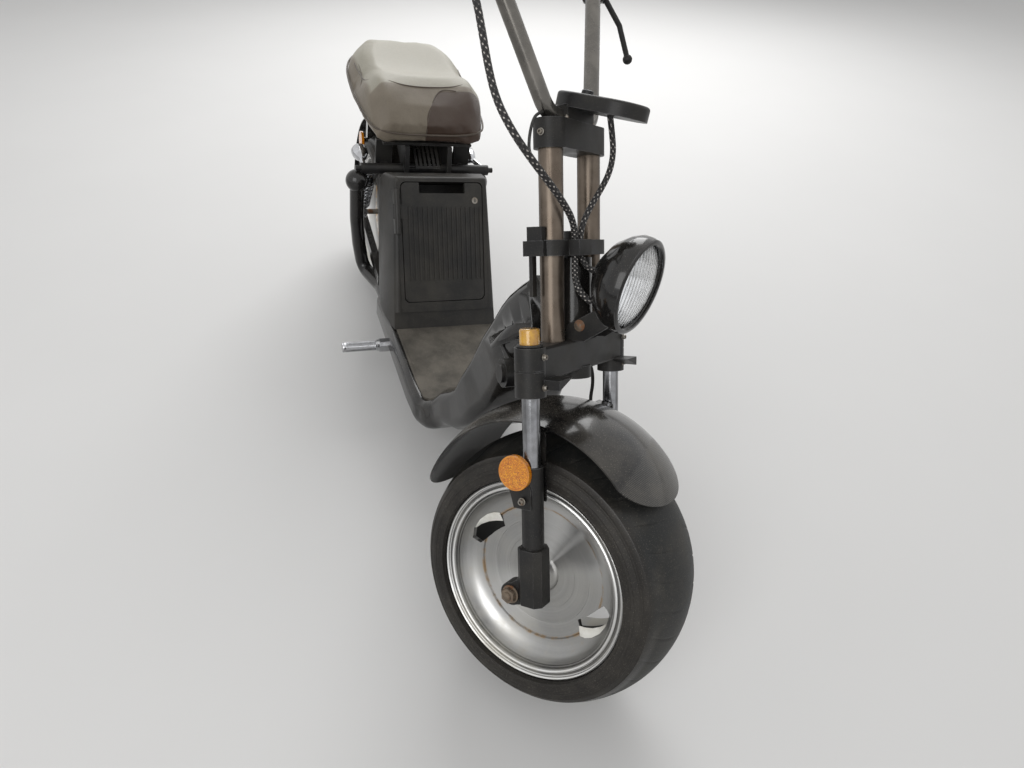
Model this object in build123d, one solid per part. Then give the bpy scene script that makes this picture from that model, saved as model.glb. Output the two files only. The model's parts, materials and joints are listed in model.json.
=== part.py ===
"""Electric motor scooter with a pressed cradle frame, fat 12 inch tyres and a tall twin-tube front end.

Every piece is drawn on the upright vehicle: +X forward, +Y to the rider's left, +Z up, the floor at Z = 0 and the
middle of the wheelbase at X = 0. Front end pieces are drawn along the fork and turned to the left steering stop.
Last, the whole vehicle is laid over on to its side stand, so that both tyres and the stand's foot meet the floor.
Lengths are millimetres and angles are degrees.
"""

import math
import os

from build123d import *

os.makedirs("parts", exist_ok=True)

# Clearances: between fixed pieces, and of a pin in its bore
GAP = 0.3
RUN = 0.05

# Stance
WHEELBASE = 1375.0
REAR_X = -WHEELBASE / 2
FRONT_X = WHEELBASE / 2
RAKE = 29.2
STEER_STOP = 35.8
LEAN = 7.7

# Wheels: Y is across the wheel, from its middle plane
TYRE_R = 238.5
TYRE_W = 215.0
CROWN_R = 190.0
SHOULDER_R = 35.0
TYRE_WALL = 14.0
RIM_SEAT_R = 152.4
RIM_LIP_R = 173.0
RIM_W = 190.0
LIP_T = 6.0
RIM_WALL = 6.0
WEB_Y = -46.0
WEB_T = 9.0
WEB_STEP_R = 118.0
HUB_R = 34.0
AXLE_R = 8.0
DISC_R = 92.0
DISC_T = 4.0
DISC_Y = 72.0
CALIPER_T = 11.0
CALIPER_HALF = 34.0
CALIPER_FRONT = 58.0
CALIPER_REAR = -11.0
FIN_COUNT = 2
FIN_ANGLE = 149.0
MOTOR_R = 84.0

# Fork, in its own frame: X ahead, Y left, Z up along the fork, the axle at the origin
STEM_X = 37.0
LEG_Y = 138.0
LEG_R = 14.0
SLIDER_R = 17.5
FOOT_R = 21.5
FOOT_Z = 84.0
SLIDER_TOP = 215.0
YOKE_Z0 = 325.0
YOKE_Z1 = 400.0
YOKE_BAR_Z0 = 348.0
YOKE_DEPTH = 46.0
BOSS_R = 24.0
BOSS_LIP = 12.0
BOSS_GROOVE_Z = 364.0
EAR_Y = 38.0
EAR_T = 8.0
GUIDE_DEPTH = 18.0
GUIDE_Y = (-54.0, -12.0)
SWITCH_L = 34.0
STEM_R = 15.0
UPRIGHT_Y = 62.0
UPRIGHT_X = 33.0
UPRIGHT_R = 19.0
MID_CLAMP_Z0 = 533.0
MID_CLAMP_Z1 = 557.0
TOP_CLAMP_Z0 = 692.0
TOP_CLAMP_Z1 = 735.0
CLAMP_WALL = 7.0
UPRIGHT_Z1 = TOP_CLAMP_Z1 - 6.0
BAR_SEAT_Z = 742.0
BAR_CAP_Z = 757.0
BAR_R = 13.0
GRIP_R = 17.0
GRIP_L = 122.0
CAP_R = 15.5
CAP_H = 28.0
REFLECTOR_R = 28.0
REFLECTOR_T = 7.0
REFLECTOR_Y = 160.0
BRACKET_T = 3.0

# Cords on the fork: each route's points and its radius
HARNESS = [
    (
        [
            (-36, -231, 984), (-14, -210, 930), (4, -204, 876), (16, -208, 828), (26, -211, 782), (38, -212, 740),
            (54, -200, 700), (66, -170, 664), (69, -128, 636), (67, -84, 610), (64, -50, 586), (62, -39, 558),
            (62, -40, 528), (64, -46, 500), (72, -44, 474), (95, -32, 455),
        ],
        4.6,
    ),
    (
        [
            (101, 2, 741), (99, 14, 716), (95, 27, 688), (87, 30, 660), (76, 21, 634), (67, 3, 608),
            (62.5, -16, 582), (63, -26, 556), (66, -28, 529), (75, -19, 509), (94, -6, 505),
        ],
        4.2,
    ),
    ([(33, -84, 742), (36, -106, 737), (40, -126, 720), (45, -142, 698), (54, -158, 676), (65, -166, 667)], 2.2),
    (
        [
            (18, 72, 349), (12, 100, 343), (5, 128, 324), (0, 141, 296), (-6, 141, 266), (-4, 140, 236),
            (2, 138, 206), (7, 134, 178), (12, 124, 152), (22, 108, 132), (40, 92, 112),
        ],
        3.2,
    ),
]

# Headlamp, on the fork's middle plane
LAMP_X = 148.0
LAMP_Z = 483.0
LAMP_DROP = 19.5
LENS_R = 69.0
SHELL_R = 78.0
SHELL_L = 70.0
SHELL_WALL = 3.0

# Front mudguard
GUARD_X = -8.0
GUARD_Z = 57.0
GUARD_R = 236.0
GUARD_HALF = 100.0
GUARD_FRONT = 68.0
GUARD_REAR = 76.0
GUARD_NOSE = 66.0
GUARD_T = 2.5
GUARD_CROWN_R = 260.0
STAY_T = 3.0
STAY_HALF = 14.0

# Frame
DECK_TOP = 176.0
DECK_DEPTH = 64.0
DECK_HALF = 152.0
DECK_CORNER_R = 40.0
DECK_REAR_X = REAR_X + 362.5
BEND_X = FRONT_X - 546.5
BEND_TOP_R = 40.0
HEAD_R = 30.0
HEAD_Z0 = 404.0
HEAD_Z1 = 529.0
MAT_T = 4.0
MAT_EDGE = 21.0
FRAME_EDGE_R = 20.0
NECK_STEPS = 3
PIVOT_X = DECK_REAR_X - 60.0
PIVOT_Z = 186.0
PIVOT_R = 15.0
LUG_Y = 88.0
LUG_T = 8.0
NECK_SWING_R = 88.0
BRIDGE_HALF = 23.0

# Rear end
ARM_Y = 125.0
ARM_W = 20.0
ARM_HALF_H = 14.0
LUG_W = 24.0
LOOP_R = 19.0
DOME_R = 30.0
PEG_X = -118.0
PEG_Z = 143.0
CROSS_X = REAR_X + 232.5
CROSS_Z = 476.0
CROSS_R = 14.0
CROSS_HALF = 176.0
SHOCK_EYE = 10.0
SHOCK_Y = ARM_Y + ARM_W / 2 + SHOCK_EYE
REAR_GUARD_R = 272.5
REAR_GUARD_T = 3.0
REFLECTOR_Z = 456.0

# Battery box: distances up its leaning front face start at the deck
CASE_LOW_HALF = 135.0
CASE_TOP_HALF = 119.0
CASE_FRONT_X = REAR_X + 565.5
CASE_TOP_X = REAR_X + 382.0
CASE_TOP_Z = DECK_TOP + 343.0
CASE_BULGE = 17.0
CASE_DEPTH = 175.0
CASE_EDGE_R = 13.0
CASE_WALL = 5.0
PLINTH_H = 51.0
PLINTH_STEP = 6.0
BEZEL_T = 3.0
BEZEL_SIDE = 9.0
BEZEL_R = 18.0
DOOR_HALF = 108.0
DOOR_LOW = 75.0
DOOR_HIGH = 377.0
DOOR_T = 9.0
DOOR_R = 14.0
DOOR_GAP = 2.0
RIB_COUNT = 16
RIB_LOW = 131.0
RIB_HIGH = 314.0
RIB_HALF = 94.0
RIB_Y = 6.0
RIB_W = 4.5
RIB_T = 2.2
LATCH_LOW = 349.0
LATCH_HALF = 60.0
LOCK_R = 8.0
LOCK_Y = 86.0
LOCK_D = 331.0
HINGE_R = 7.5
HINGE_Y = -DOOR_HALF - 11.0
HINGE_X = BEZEL_T + HINGE_R + GAP
HINGE_LOW = 250.0
HINGE_HIGH = 358.0
KNUCKLE = 36.0
PACK_DEPTH = 96.0
PACK_TOP = DOOR_HIGH - 42.0

# Seat
SEAT_FRONT_X = CROSS_X + 15.0
SEAT_REAR_X = SEAT_FRONT_X - 420.0
SEAT_BASE_Z = 548.0

# Number plate: its outer face, as (x, z) from its top edge to its bottom edge
PLATE_FACE = [(REAR_X - 282, 326), (REAR_X - 310, 148)]

# Side stand
STAND_X = -30.0
STAND_Y = 132.0
STAND_Z = 90.0
FOOT_X = 25.0
FOOT_Y = 222.0
STAND_R = 9.0
STAND_EYE_R = 14.0
STAND_PIN_R = 6.0
STAND_PLATE = 8.0
STAND_EYE_T = 20.0
STAND_PAD_R = 17.0
STAND_PAD_T = 7.0


def rod(start, end, radius):
    """A round bar from start to end."""
    a, b = Vector(*start), Vector(*end)
    return Solid.make_cylinder(radius, (b - a).length, Plane(a, z_dir=b - a))


def pipe(points, radius, bends):
    """A round bar along straight runs joined by arcs of the given bend radii."""
    path = FilletPolyline(*points, radius=bends)
    return sweep(Plane(path @ 0, z_dir=path % 0) * Circle(radius), path)


def hose(points, radius):
    """A cord held along its route: straight runs and arcs as large as the runs allow."""
    corners = [Vector(*p) for p in points]
    bends = []
    for a, b, c in zip(corners, corners[1:], corners[2:]):
        shorter = min((b - a).length, (c - b).length)
        turn = math.radians((b - a).get_angle(c - b))
        bends.append(min(0.45 * shorter / math.tan(turn / 2), 400.0))
    return pipe(points, radius, bends)


def slab(profile, y0, y1):
    """A side profile, given as (x, z) corners, extruded from y0 to y1."""
    face = make_face(Polyline(*profile, close=True))
    return Pos(0, y1, 0) * extrude(Plane.XZ * face, y1 - y0)


def block(x, y, z):
    """A box between the given limits along each axis."""
    centre = [(limits[0] + limits[1]) / 2 for limits in (x, y, z)]
    return Pos(*centre) * Box(x[1] - x[0], y[1] - y[0], z[1] - z[0])


def turned(section):
    """A section drawn as (across, radius) turned about an axle along Y."""
    return revolve(Plane.YZ * section, Axis.Y)


def both(shape):
    """A piece of the left side together with its mirror image on the right."""
    return [shape, mirror(shape, Plane.XZ)]


# Section of a tyre: a crown arc, then a shoulder arc on each side
CROWN_END = math.asin((TYRE_W / 2 - SHOULDER_R) / (CROWN_R - SHOULDER_R))
SHOULDER_Z = TYRE_R - CROWN_R + (CROWN_R - SHOULDER_R) * math.cos(CROWN_END)


def fork_frame(steer):
    """The fork's frame on the upright vehicle, turned about the stem by steer."""
    axle = Pos(FRONT_X, 0, TYRE_R) * Rot(0, -RAKE, 0)
    return axle * Pos(STEM_X, 0, 0) * Rot(0, 0, steer) * Pos(-STEM_X, 0, 0)


def tilt_frame(pitch):
    """The vehicle leaned to its left and pitched nose down."""
    return Rot(-LEAN, 0, 0) * Rot(0, pitch, 0)


def wheel_bottom(pitch, centre, beside):
    """Lowest point of a wheel, from its centre and the point 1 mm beside it on the axle."""
    turn = tilt_frame(pitch)
    place = (turn * Pos(*centre)).position
    axis = (turn * Pos(*beside)).position - place
    reach = (TYRE_R - CROWN_R) * math.cos(math.asin(abs(axis.Z))) + CROWN_R
    return place.Z - reach


def settle():
    """The frame in which both tyres stand on the floor."""
    fork = fork_frame(STEER_STOP)
    front, beside = tuple(fork.position), tuple((fork * Pos(0, 1, 0)).position)
    low, high = -4.0, 4.0
    for _ in range(50):
        pitch = (low + high) / 2
        rear_gap = wheel_bottom(pitch, (REAR_X, 0, TYRE_R), (REAR_X, 1, TYRE_R))
        front_gap = wheel_bottom(pitch, front, beside)
        low, high = (pitch, high) if front_gap > rear_gap else (low, pitch)
    return Pos(0, 0, -rear_gap) * tilt_frame(pitch)


FORK = fork_frame(STEER_STOP)
STANCE = settle()


def floor_z(x, y):
    """Height of the floor at (x, y), on the upright vehicle's own axes."""
    home = STANCE.inverse()
    base = home.position
    normal = (home * Pos(0, 0, 1)).position - base
    return base.Z - ((x - base.X) * normal.X + (y - base.Y) * normal.Y) / normal.Z


PIECES = {}


def put(name, shape, frame=None):
    """Keep a piece under its name, drawn on the upright vehicle or in the frame given."""
    solids = shape if isinstance(shape, list) else [shape]
    placed = [STANCE * (frame * solid if frame else solid) for solid in solids]
    PIECES[name] = Compound(placed) if len(placed) > 1 else placed[0]


def write_pieces():
    """Write every piece, with the origin on the floor under the middle of the whole vehicle."""
    boxes = [shape.bounding_box() for shape in PIECES.values()]
    low = [min(tuple(box.min)[n] for box in boxes) for n in (0, 1)]
    high = [max(tuple(box.max)[n] for box in boxes) for n in (0, 1)]
    shift = Pos(-(low[0] + high[0]) / 2, -(low[1] + high[1]) / 2, 0)
    for name, shape in PIECES.items():
        export_step(shift * shape, f"parts/{name}.step")
    return shift


# Wheels


def tyre():
    """A low, wide tyre with an open bead."""
    seat, flange = RIM_W / 2 - LIP_T - GAP, RIM_LIP_R + GAP
    crown = (CROWN_R * math.sin(CROWN_END), TYRE_R - CROWN_R + CROWN_R * math.cos(CROWN_END))
    middle = (CROWN_END + math.pi / 2) / 2
    shoulder = (
        TYRE_W / 2 - SHOULDER_R + SHOULDER_R * math.sin(middle),
        SHOULDER_Z + SHOULDER_R * math.cos(middle),
    )
    side = (TYRE_W / 2, SHOULDER_Z)
    lip = (RIM_W / 2 + 2, flange)
    inner_top = (crown[0] - TYRE_WALL, crown[1] - TYRE_WALL)
    half = [
        ThreePointArc((0, TYRE_R), (CROWN_R * math.sin(CROWN_END / 2), TYRE_R - CROWN_R * (1 - math.cos(CROWN_END / 2))), crown),
        ThreePointArc(crown, shoulder, side),
        Line(side, lip),
        Line(lip, (seat, flange)),
        Line((seat, flange), (seat, RIM_SEAT_R + GAP)),
        Line((seat, RIM_SEAT_R + GAP), (seat - TYRE_WALL, RIM_SEAT_R + GAP)),
        Line((seat - TYRE_WALL, RIM_SEAT_R + GAP), (TYRE_W / 2 - TYRE_WALL, SHOULDER_Z)),
        Line((TYRE_W / 2 - TYRE_WALL, SHOULDER_Z), inner_top),
        Line(inner_top, (0, inner_top[1])),
        Line((0, inner_top[1]), (0, TYRE_R)),
    ]
    section = make_face(half)
    return turned(section + mirror(section, Plane.YZ))


def ring(points):
    """A closed (across, radius) section turned about the axle."""
    return turned(make_face(Polyline(*points, close=True)))


def barrel():
    """The rim's barrel with its two lips."""
    edge, seat = RIM_W / 2, RIM_W / 2 - LIP_T
    inner = RIM_SEAT_R - RIM_WALL
    half = [(0, RIM_SEAT_R), (seat, RIM_SEAT_R), (seat, RIM_LIP_R), (edge, RIM_LIP_R), (edge, RIM_SEAT_R - 2)]
    half += [(seat - 4, inner), (0, inner)]
    section = make_face(Polyline(*half, close=True))
    return turned(section + mirror(section, Plane.YZ))


def web(side):
    """A stepped wheel web on one side: -1 is the rider's right."""
    y, t = side * abs(WEB_Y), side * WEB_T
    inner = RIM_SEAT_R - RIM_WALL + 0.5
    outline = [
        (y - t / 2, HUB_R - 4),
        (y + t * 1.4, HUB_R - 4),
        (y + t, HUB_R + 24),
        (y + t, WEB_STEP_R - 3),
        (y + t * 1.5, WEB_STEP_R),
        (y + t * 2.2, inner),
        (y + t * 1.1, inner),
        (y, WEB_STEP_R),
    ]
    return ring(outline)


def fin_hole(angle):
    """A shark fin cut-out: a radial base, and two arcs that meet in its tip."""

    def at(radius, degrees):
        turn = math.radians(degrees)
        return radius * math.cos(turn), radius * math.sin(turn)

    base_in, base_out = at(86, angle + 22), at(109, angle + 22)
    tip = at(130, angle - 24)
    face = make_face(
        [
            Line(base_in, base_out),
            ThreePointArc(base_out, at(126, angle), tip),
            ThreePointArc(tip, at(104, angle - 2), base_in),
        ]
    )
    return Pos(0, RIM_W / 2, 0) * extrude(Plane.XZ * face, RIM_W)


def front_rim():
    """Front rim: the web with its two fin cut-outs near the rider's right, and a long hub."""
    wheel = barrel() + web(-1)
    for turn in range(FIN_COUNT):
        wheel -= fin_hole(FIN_ANGLE + turn * 360 / FIN_COUNT)
    hub = ring([(-62, AXLE_R + RUN), (-62, HUB_R - 6), (-56, HUB_R), (60, HUB_R), (DISC_Y, HUB_R - 6), (DISC_Y, AXLE_R + RUN)])
    return wheel + hub


def rear_rim():
    """Rear rim: a web on each side of the hub motor's drum."""
    wheel = barrel() + web(-1) + web(1)
    for turn in range(FIN_COUNT):
        wheel -= fin_hole(FIN_ANGLE + turn * 360 / FIN_COUNT)
    drum = ring([(-48, AXLE_R + RUN), (-48, MOTOR_R), (48, MOTOR_R), (48, AXLE_R + RUN)])
    boss = ring([(-64, AXLE_R + RUN), (-64, HUB_R), (DISC_Y, HUB_R), (DISC_Y, AXLE_R + RUN)])
    return wheel + drum + boss


def brake_disc():
    """A brake disc bolted to the hub's left end."""
    plate = ring([(DISC_Y, AXLE_R + 6), (DISC_Y, DISC_R), (DISC_Y + DISC_T, DISC_R), (DISC_Y + DISC_T, AXLE_R + 6)])
    holes = [
        Pos(62 * math.cos(a), DISC_Y, 62 * math.sin(a)) * Rot(90, 0, 0) * Cylinder(9, 4 * DISC_T)
        for a in (math.radians(60 * n) for n in range(6))
    ]
    return plate - holes


def axle(seat):
    """A wheel axle with a nut on each end, seated that far out."""
    shaft = rod((0, -seat - 12, 0), (0, seat + 12, 0), AXLE_R)
    nut = Pos(0, seat + 9, 0) * Rot(90, 0, 0) * extrude(RegularPolygon(12, 6), 9)
    return shaft + nut + mirror(nut, Plane.XZ)


def caliper(angle, seat):
    """A brake caliper astride the disc's edge at an angle, with its lug out to the seat."""
    low, high = DISC_Y - CALIPER_T, DISC_Y + DISC_T + CALIPER_T
    body = block((DISC_R - 22, DISC_R + 22), (low, high), (-CALIPER_HALF, CALIPER_HALF))
    body = fillet(body.edges().filter_by(Axis.Y), 7)
    piston = rod((DISC_R - 4, high - 1, 0), (DISC_R - 4, high + 6, 0), 15)
    lug = block((DISC_R + 2, DISC_R + 20), (high - 2, seat - GAP), (-11, 11))
    slot = block((0, DISC_R + 5), (DISC_Y - 1.5, DISC_Y + DISC_T + 1.5), (-60, 60))
    return Rot(0, -angle, 0) * (body + piston + lug - slot)


# Front end


def fork_leg():
    """The left slider: tube, foot and the lug that trails back to the axle."""
    tube = Pos(STEM_X, LEG_Y, 0) * Cylinder(SLIDER_R, SLIDER_TOP - 10, align=(Align.CENTER, Align.CENTER, Align.MIN))
    tube = Pos(0, 0, 10) * tube
    foot = Pos(STEM_X, LEG_Y, -10) * Cylinder(FOOT_R, FOOT_Z + 10, align=(Align.CENTER, Align.CENTER, Align.MIN))
    foot = chamfer(foot.edges().filter_by(GeomType.CIRCLE), 2.5)
    lug = Pos(0, LEG_Y, 0) * Rot(90, 0, 0) * Cylinder(19, LUG_W)
    arm = slab([(0, 18.9), (STEM_X, 40), (STEM_X, -9), (0, -18.9)], LEG_Y - LUG_W / 2, LEG_Y + LUG_W / 2)
    leg = tube + foot + lug + arm
    leg -= Pos(STEM_X, LEG_Y, FOOT_Z + 20) * Cylinder(LEG_R + GAP / 3, 400, align=(Align.CENTER, Align.CENTER, Align.MIN))
    return leg - Pos(0, LEG_Y, 0) * Rot(90, 0, 0) * Cylinder(AXLE_R, 80)


def stanchion():
    """The left chrome fork tube, from inside its slider into the yoke's boss."""
    return rod((STEM_X, LEG_Y, FOOT_Z + 30), (STEM_X, LEG_Y, YOKE_Z1 - 12), LEG_R)


def lower_yoke():
    """The bottom yoke: a stepped bar between two bosses, the stem up its middle and the lamp's two ears."""
    bar = extrude(Rectangle(YOKE_DEPTH, 2 * LEG_Y), YOKE_Z1 - YOKE_BAR_Z0)
    yoke = Pos(STEM_X, 0, YOKE_BAR_Z0) * fillet(bar.edges().filter_by(Axis.Y), 5)
    hub = Pos(STEM_X, 0, YOKE_BAR_Z0 - 14) * Cylinder(BOSS_R + 4, 20, align=(Align.CENTER, Align.CENTER, Align.MIN))
    yoke += hub
    low = YOKE_Z0 + BOSS_LIP
    for y in (-LEG_Y, LEG_Y):
        yoke += rod((STEM_X, y, YOKE_Z0), (STEM_X, y, YOKE_Z1), BOSS_R)
        inner = y - math.copysign(BOSS_R + 16, y)
        gusset = extrude(Plane.XZ * make_face(Polyline((y, low), (y, YOKE_BAR_Z0 + 4), (inner, YOKE_BAR_Z0 + 4), close=True)), 34)
        yoke += Pos(STEM_X + 17, 0, 0) * Rot(0, 0, 90) * gusset
        yoke -= Pos(0, 0, -1) * rod((STEM_X, y, YOKE_Z0), (STEM_X, y, YOKE_Z1 - 11), LEG_R)
        groove = rod((STEM_X, y, BOSS_GROOVE_Z), (STEM_X, y, BOSS_GROOVE_Z + 2), BOSS_R + 2)
        yoke -= groove - rod((STEM_X, y, 0), (STEM_X, y, YOKE_Z1), BOSS_R - 1.2) - block((-60, 120), (-LEG_Y, LEG_Y), (0, 500))
    yoke += rod((STEM_X, 0, YOKE_BAR_Z0 - 14), (STEM_X, 0, MID_CLAMP_Z1 + 14), STEM_R)
    ear = [(STEM_X + 4, YOKE_Z1 - 1), (STEM_X + 40, YOKE_Z1 - 1), (122, 424), (104, 452), (STEM_X + 10, 424)]
    for y in (-EAR_Y, EAR_Y):
        yoke += slab(ear, y - EAR_T / 2, y + EAR_T / 2)
    yoke -= lamp_frame() * lamp_turned(lamp_bowl() + [(6, 0)])
    for y in (-UPRIGHT_Y, UPRIGHT_Y):
        yoke -= rod((UPRIGHT_X, y, YOKE_Z1 - 30), (UPRIGHT_X, y, YOKE_Z1 + 5), UPRIGHT_R)
    return yoke


def upright():
    """The left upright tube, from the bottom yoke to the bar clamp."""
    return rod((UPRIGHT_X, UPRIGHT_Y, YOKE_Z1 - 30), (UPRIGHT_X, UPRIGHT_Y, UPRIGHT_Z1), UPRIGHT_R)


def clamp(z0, z1, extra):
    """A plate with two eyes that grips both uprights, and a hole for the stem if it reaches it."""
    outer = UPRIGHT_R + CLAMP_WALL
    plate = Pos(UPRIGHT_X, 0, z0) * extrude(SlotCenterToCenter(2 * UPRIGHT_Y, 2 * outer, 90), z1 - z0) + extra
    top = min(z1 + 5, UPRIGHT_Z1)
    for y in (-UPRIGHT_Y, UPRIGHT_Y):
        plate -= rod((UPRIGHT_X, y, z0 - 5), (UPRIGHT_X, y, top), UPRIGHT_R)
    return plate


def mid_clamp():
    """The clamp above the head tube: the stem's nut, the lock at its right end and a guide for the cables."""
    z0, z1 = MID_CLAMP_Z0, MID_CLAMP_Z1
    lock = block((UPRIGHT_X - 30, UPRIGHT_X + 6), (-UPRIGHT_Y - 36, -UPRIGHT_Y - 14), (z0, z1 - 1))
    lock += block((UPRIGHT_X - 24, UPRIGHT_X + 2), (-UPRIGHT_Y - 34, -UPRIGHT_Y - 22), (z1 - 2, z1 + 20))
    lock += block((UPRIGHT_X - 22, UPRIGHT_X - 16), (-UPRIGHT_Y - 32, -UPRIGHT_Y - 20), (z0 - 62, z0 + 2))
    front = UPRIGHT_X + UPRIGHT_R + CLAMP_WALL
    guide = block((UPRIGHT_X, front + GUIDE_DEPTH), GUIDE_Y, (z0, z1))
    plate = clamp(z0, z1, lock + guide)
    window = block((front - 4, front + GUIDE_DEPTH - 4), (GUIDE_Y[0] + 5, GUIDE_Y[1] - 5), (z0 - 5, z1 + 5))
    return plate - window - rod((STEM_X, 0, z0 - 5), (STEM_X, 0, z1 + 30), STEM_R)


def top_clamp():
    """The block on top of the uprights, with the half-round seat and cap that hold the bar."""
    cap = block((UPRIGHT_X - 20, UPRIGHT_X + 20), (-42, 42), (TOP_CLAMP_Z1 - 4, BAR_CAP_Z))
    return clamp(TOP_CLAMP_Z0, TOP_CLAMP_Z1, cap) - pipe(BAR_PATH, BAR_R, BAR_BENDS)


BAR_PATH = [
    (-105, -355, 1035),
    (-16, -177, 990),
    (UPRIGHT_X, -70, BAR_SEAT_Z),
    (UPRIGHT_X, 70, BAR_SEAT_Z),
    (-16, 177, 990),
    (-105, 355, 1035),
]
BAR_BENDS = [70, 34, 34, 70]


def along(start, end, distance):
    """The point at a distance from start towards end."""
    a, b = Vector(*start), Vector(*end)
    return tuple(a + (b - a).normalized() * distance)


def grip():
    """The left grip, closed at its outer end."""
    end, corner = BAR_PATH[-1], BAR_PATH[-2]
    outer = along(corner, end, Vector(*end).sub(Vector(*corner)).length + 5)
    shape = rod(along(outer, corner, GRIP_L), outer, GRIP_R)
    return shape - rod(corner, end, BAR_R)


def lever():
    """The left lever: a clamp on the bar, the master cylinder, a switch box and a blade that ends in a ball."""
    end, corner = BAR_PATH[-1], BAR_PATH[-2]
    inner, outer = along(end, corner, GRIP_L + 28), along(end, corner, GRIP_L + 6)
    collar = rod(inner, outer, BAR_R + 6)
    mid = along(end, corner, GRIP_L + 17)
    pivot = (mid[0] + 22, mid[1] + 4, mid[2] - 18)
    neck = rod((mid[0] + 12, mid[1] + 2, mid[2] - 10), pivot, 8)
    ball = (-10 + 8, 290, 891)
    bend = (pivot[0] + 14, pivot[1] + 30, pivot[2] - 40)
    blade = rod(pivot, bend, 5) + Pos(*bend) * Sphere(5) + rod(bend, ball, 5) + Pos(*ball) * Sphere(9)
    return collar + neck + blade


def switch_box():
    """The left switch housing, clamped round the bar inboard of the lever."""
    end, corner = BAR_PATH[-1], BAR_PATH[-2]
    seat = Plane(along(end, corner, GRIP_L + 30), z_dir=Vector(*corner) - Vector(*end))
    return extrude(seat * RectangleRounded(40, 46, 9), SWITCH_L)


def dash_plate():
    """The flat pill-shaped dash over the bar clamp, nose down."""
    length, width, thick = 150.0, 92.0, 22.0
    plate = extrude(SlotOverall(length, width), thick)
    plate = fillet(plate.edges().group_by(Axis.Z)[-1], 5)
    plate = Pos(86, 0, 744) * Rot(0, 15.5, 0) * plate
    return plate - block((0, UPRIGHT_X + 20.2), (-60, 60), (700, BAR_CAP_Z))


def lamp_frame():
    """The lamp's frame: X out through the lens, at the lens's middle."""
    return Pos(LAMP_X, 0, LAMP_Z) * Rot(0, LAMP_DROP, 0)


def lamp_turned(points):
    """A closed (along, radius) section turned about the lamp's own axis."""
    return revolve(make_face(Polyline(*points, close=True)), Axis.X)


def lamp_bowl():
    """The outside of the lamp's shell, from the bezel's face to the middle of its back."""
    r, l = SHELL_R, SHELL_L
    return [(6, r - 2), (-2, r), (-14, r), (-0.4 * l, r - 6), (-0.66 * l, r - 20), (-0.87 * l, r - 42), (-l, 20), (-l, 0)]


def headlamp_shell():
    """The bowl of the lamp, open in front, with its bezel."""
    l, w = SHELL_L, SHELL_WALL
    outer = [(6, LENS_R + GAP), *lamp_bowl()]
    inner = [(-l + w, 0), *((x + w, radius - w) for x, radius in reversed(lamp_bowl()[2:-1]))]
    seat = [(-9, LENS_R - 3), (-8, LENS_R - 3), (-8, LENS_R + GAP)]
    return lamp_turned(outer + inner + seat)


def headlamp_lens():
    """The domed glass with the silver bowl behind it, as one closed piece."""
    return lamp_turned([(-7.7, 0), (-7.7, LENS_R), (2, LENS_R), (7, LENS_R - 12), (11, LENS_R - 34), (13, 0)])


def guard_trim(angle, ahead):
    """What is cut from an end of the mudguard, so that it closes in a half ellipse."""
    corner = block((-GUARD_NOSE, 60), (-GUARD_HALF - 20, GUARD_HALF + 20), (-60, 30))
    nose = Pos(-GUARD_NOSE, 0, -60) * extrude(Ellipse(GUARD_NOSE, GUARD_HALF + 1), 90)
    place = Pos(GUARD_X, 0, GUARD_Z) * Rot(0, angle, 0) * Pos(0, 0, GUARD_R)
    return place * Rot(0, 0, 0 if ahead else 180) * (corner - nose)


def front_mudguard():
    """A crowned strip over the front tyre with rounded ends, round a centre above the axle, on two stays."""

    def section(radius, half):
        drop = GUARD_CROWN_R - math.sqrt(GUARD_CROWN_R**2 - half**2)
        return ThreePointArc((-half, radius - drop), (0, radius), (half, radius - drop))

    drop = GUARD_CROWN_R - math.sqrt(GUARD_CROWN_R**2 - GUARD_HALF**2)
    top, under = section(GUARD_R, GUARD_HALF), section(GUARD_R - GUARD_T, GUARD_HALF)
    face = make_face(
        [
            top,
            Line((GUARD_HALF, GUARD_R - drop), (GUARD_HALF, GUARD_R - GUARD_T - drop)),
            under,
            Line((-GUARD_HALF, GUARD_R - GUARD_T - drop), (-GUARD_HALF, GUARD_R - drop)),
        ]
    )
    arc = revolve(Plane.YZ * face, Axis.Y, GUARD_FRONT + GUARD_REAR + 4)
    guard = Pos(GUARD_X, 0, GUARD_Z) * Rot(0, -GUARD_REAR - 2, 0) * arc
    guard -= guard_trim(GUARD_FRONT, True)
    guard -= guard_trim(-GUARD_REAR, False)
    return guard + both(guard_stay(GUARD_R - drop))


def guard_stay(edge_r):
    """The left stay: a plate on the slider's inner side and a tab out from the mudguard's edge."""
    inner, outer = LEG_Y - SLIDER_R - STAY_T, LEG_Y - SLIDER_R
    centre = Pos(GUARD_X, 0, GUARD_Z)
    tab_face = Pos((GUARD_HALF + outer) / 2 - 0.5, edge_r - GUARD_T / 2) * Rectangle(outer - GUARD_HALF + 1, GUARD_T)
    reach = STEM_X - GUARD_X
    first, last = (math.degrees(math.asin((reach + side * STAY_HALF) / edge_r)) for side in (-1, 1))
    tab = centre * Rot(0, first, 0) * revolve(Plane.YZ * tab_face, Axis.Y, last - first)
    plate = block((STEM_X - STAY_HALF, STEM_X + STAY_HALF), (inner, outer), (SLIDER_TOP - 60, GUARD_Z + edge_r))
    return tab + (plate & centre * rod((0, 0, 0), (0, 200, 0), edge_r))


def fork_cap():
    """The amber cap on the left boss."""
    cap = Pos(STEM_X, LEG_Y, YOKE_Z1) * Cylinder(CAP_R, CAP_H, align=(Align.CENTER, Align.CENTER, Align.MIN))
    return fillet(cap.edges().group_by(Axis.Z)[-1], 3)


def fork_reflector():
    """The left round reflector, standing off the slider."""
    return Pos(20, REFLECTOR_Y, 208) * Rot(90, 0, 0) * Cylinder(REFLECTOR_R, REFLECTOR_T)


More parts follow.
